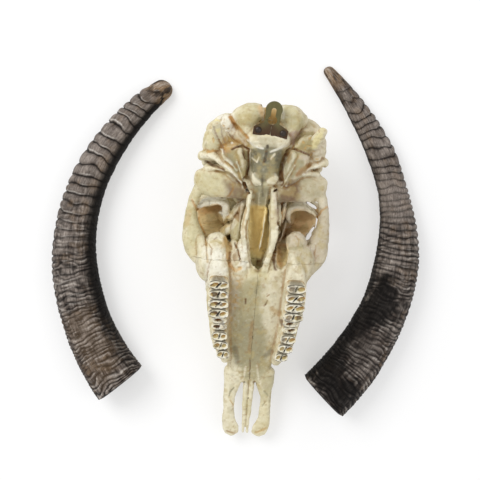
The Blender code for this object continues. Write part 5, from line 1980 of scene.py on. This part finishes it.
def horn_finish():
    """The paint, darkened between fibres that are about six times as long as they are wide."""
    f = Finish("horn")
    lay = f.node("Mapping", None, {"Vector": f.attribute("lay", "Vector"), "Scale": (1.0, 1.0, 0.16)})
    fibre = f.noise(lay, 900, 3, 0.7)
    tone = f.mix(2.2 * fibre - 0.75, f.attribute("paint"), rgba(srgb(120, 108, 98)), "MULTIPLY")
    relief = f.bump(fibre, 0.0012, 0.8)
    rough = 0.5 + 0.25 * fibre
    return f.surface(base_color=tone, roughness=rough, normal=relief, specular_ior_level=MATT / 2)


def brass_finish():
    """The paint, mixed with brown in patches, with the low gloss of tarnished metal."""
    f = Finish("aged_brass")
    patch = f.noise(f.node("TexCoord", out="Object"), 220, 4)
    tone = f.mix(0.6 * patch, f.attribute("paint"), rgba(srgb(58, 40, 20)))
    relief = f.bump(patch, 0.0003, 0.4)
    return f.surface(base_color=tone, roughness=0.4 + 0.25 * patch, metallic=0.35, normal=relief)


def screw_finish():
    """Nearly black metal with a little grey in it."""
    f = Finish("dark_screw")
    patch = f.noise(f.node("TexCoord", out="Object"), 400, 3)
    tone = f.mix(patch, rgba(PALETTE["soot"]), rgba(PALETTE["bark"]))
    return f.surface(base_color=tone, roughness=0.3, metallic=0.7)


bone_material, horn_material, brass_material = bone_finish(), horn_finish(), brass_finish()
screw_material = screw_finish()
print("finishes made")

# %% [markdown]
# ## Dressing the model
# Each finished piece rides on the one body of the model, and stands in for the plain solid that
# keeps its place for collision. A tooth row stands for the upper jaw that it grows from.

# %% Hand every piece its finish, its body and the solid it stands for
def dress(piece, finish, slot, *nodes):
    """Gives a piece its finish and its body, and hides the solids that it stands for; the slot is not used.
    """
    piece.data.materials.clear()
    piece.data.materials.append(finish)
    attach(piece, "root")
    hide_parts(*nodes)


for name, piece in bones.items():
    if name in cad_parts:
        piece.name = name + "_bone"
        dress(piece, bone_material, "bone", name)
for _, word in SIDES:
    dress(bones["teeth_" + word], bone_material, "bone", "maxilla_" + word)
    dress(screws[word], screw_material, "plate", "hanger_screw_" + word)
for name, piece in horns.items():
    dress(piece, horn_material, "horn", name)
dress(plate, brass_material, "plate", "hanger_plate")
print("dressed:", len(bones) + len(horns) + len(screws) + 1, "pieces")

# %% [markdown]
# ## Floor and light
# The photograph is a studio shot on pure white. A light table gives that: pale acrylic that glows a
# little, so that shadows on it stay faint, with soft light from above and slightly more from the left.

# %% Floor, lights and world
FLOOR_HALF, FLOOR_TONE, GLOW = 3.0, 0.56, 0.42
SKY, SKULL_MIDDLE = 0.74, Vector((0, 0, 0.05))
corners = FLOOR_HALF * np.array([(-1, -1, 0), (1, -1, 0), (1, 1, 0), (-1, 1, 0)])
floor = object_from("floor", mesh_from("floor", corners, np.array([[0, 1, 2, 3]])))
paper = Finish("paper")
acrylic = paper.surface(base_color=rgba([FLOOR_TONE] * 3), roughness=0.9, specular_ior_level=0.0)
paper.feed(paper.shader.inputs["Emission Color"], (1, 1, 1, 1))
paper.feed(paper.shader.inputs["Emission Strength"], GLOW)
floor.data.materials.append(acrylic)


def soft_light(name, place, size, power):
    """A square lamp that looks at the middle of the skull."""
    data = bpy.data.lights.new(name, "AREA")
    data.size, data.energy = size, power
    lamp = object_from(name, data)
    lamp.location = place
    lamp.rotation_euler = (SKULL_MIDDLE - lamp.location).to_track_quat("-Z", "Y").to_euler()


soft_light("window", (-1.1, 0.9, 1.9), 1.2, 24)
soft_light("fill", (1.3, -0.8, 1.9), 2.0, 6)
studio = bpy.data.worlds.new("studio")
studio.use_nodes = True
studio.node_tree.nodes["Background"].inputs["Color"].default_value = (1, 1, 1, 1)
studio.node_tree.nodes["Background"].inputs["Strength"].default_value = SKY
bpy.context.scene.world = studio
bpy.context.scene.view_settings.view_transform = "Standard"
print("light table of", 2 * FLOOR_HALF, "m, two lamps, and a sky of strength", SKY)

# %% [markdown]
# ## End
# The looks must not outgrow the model.

# %% End
print("done")
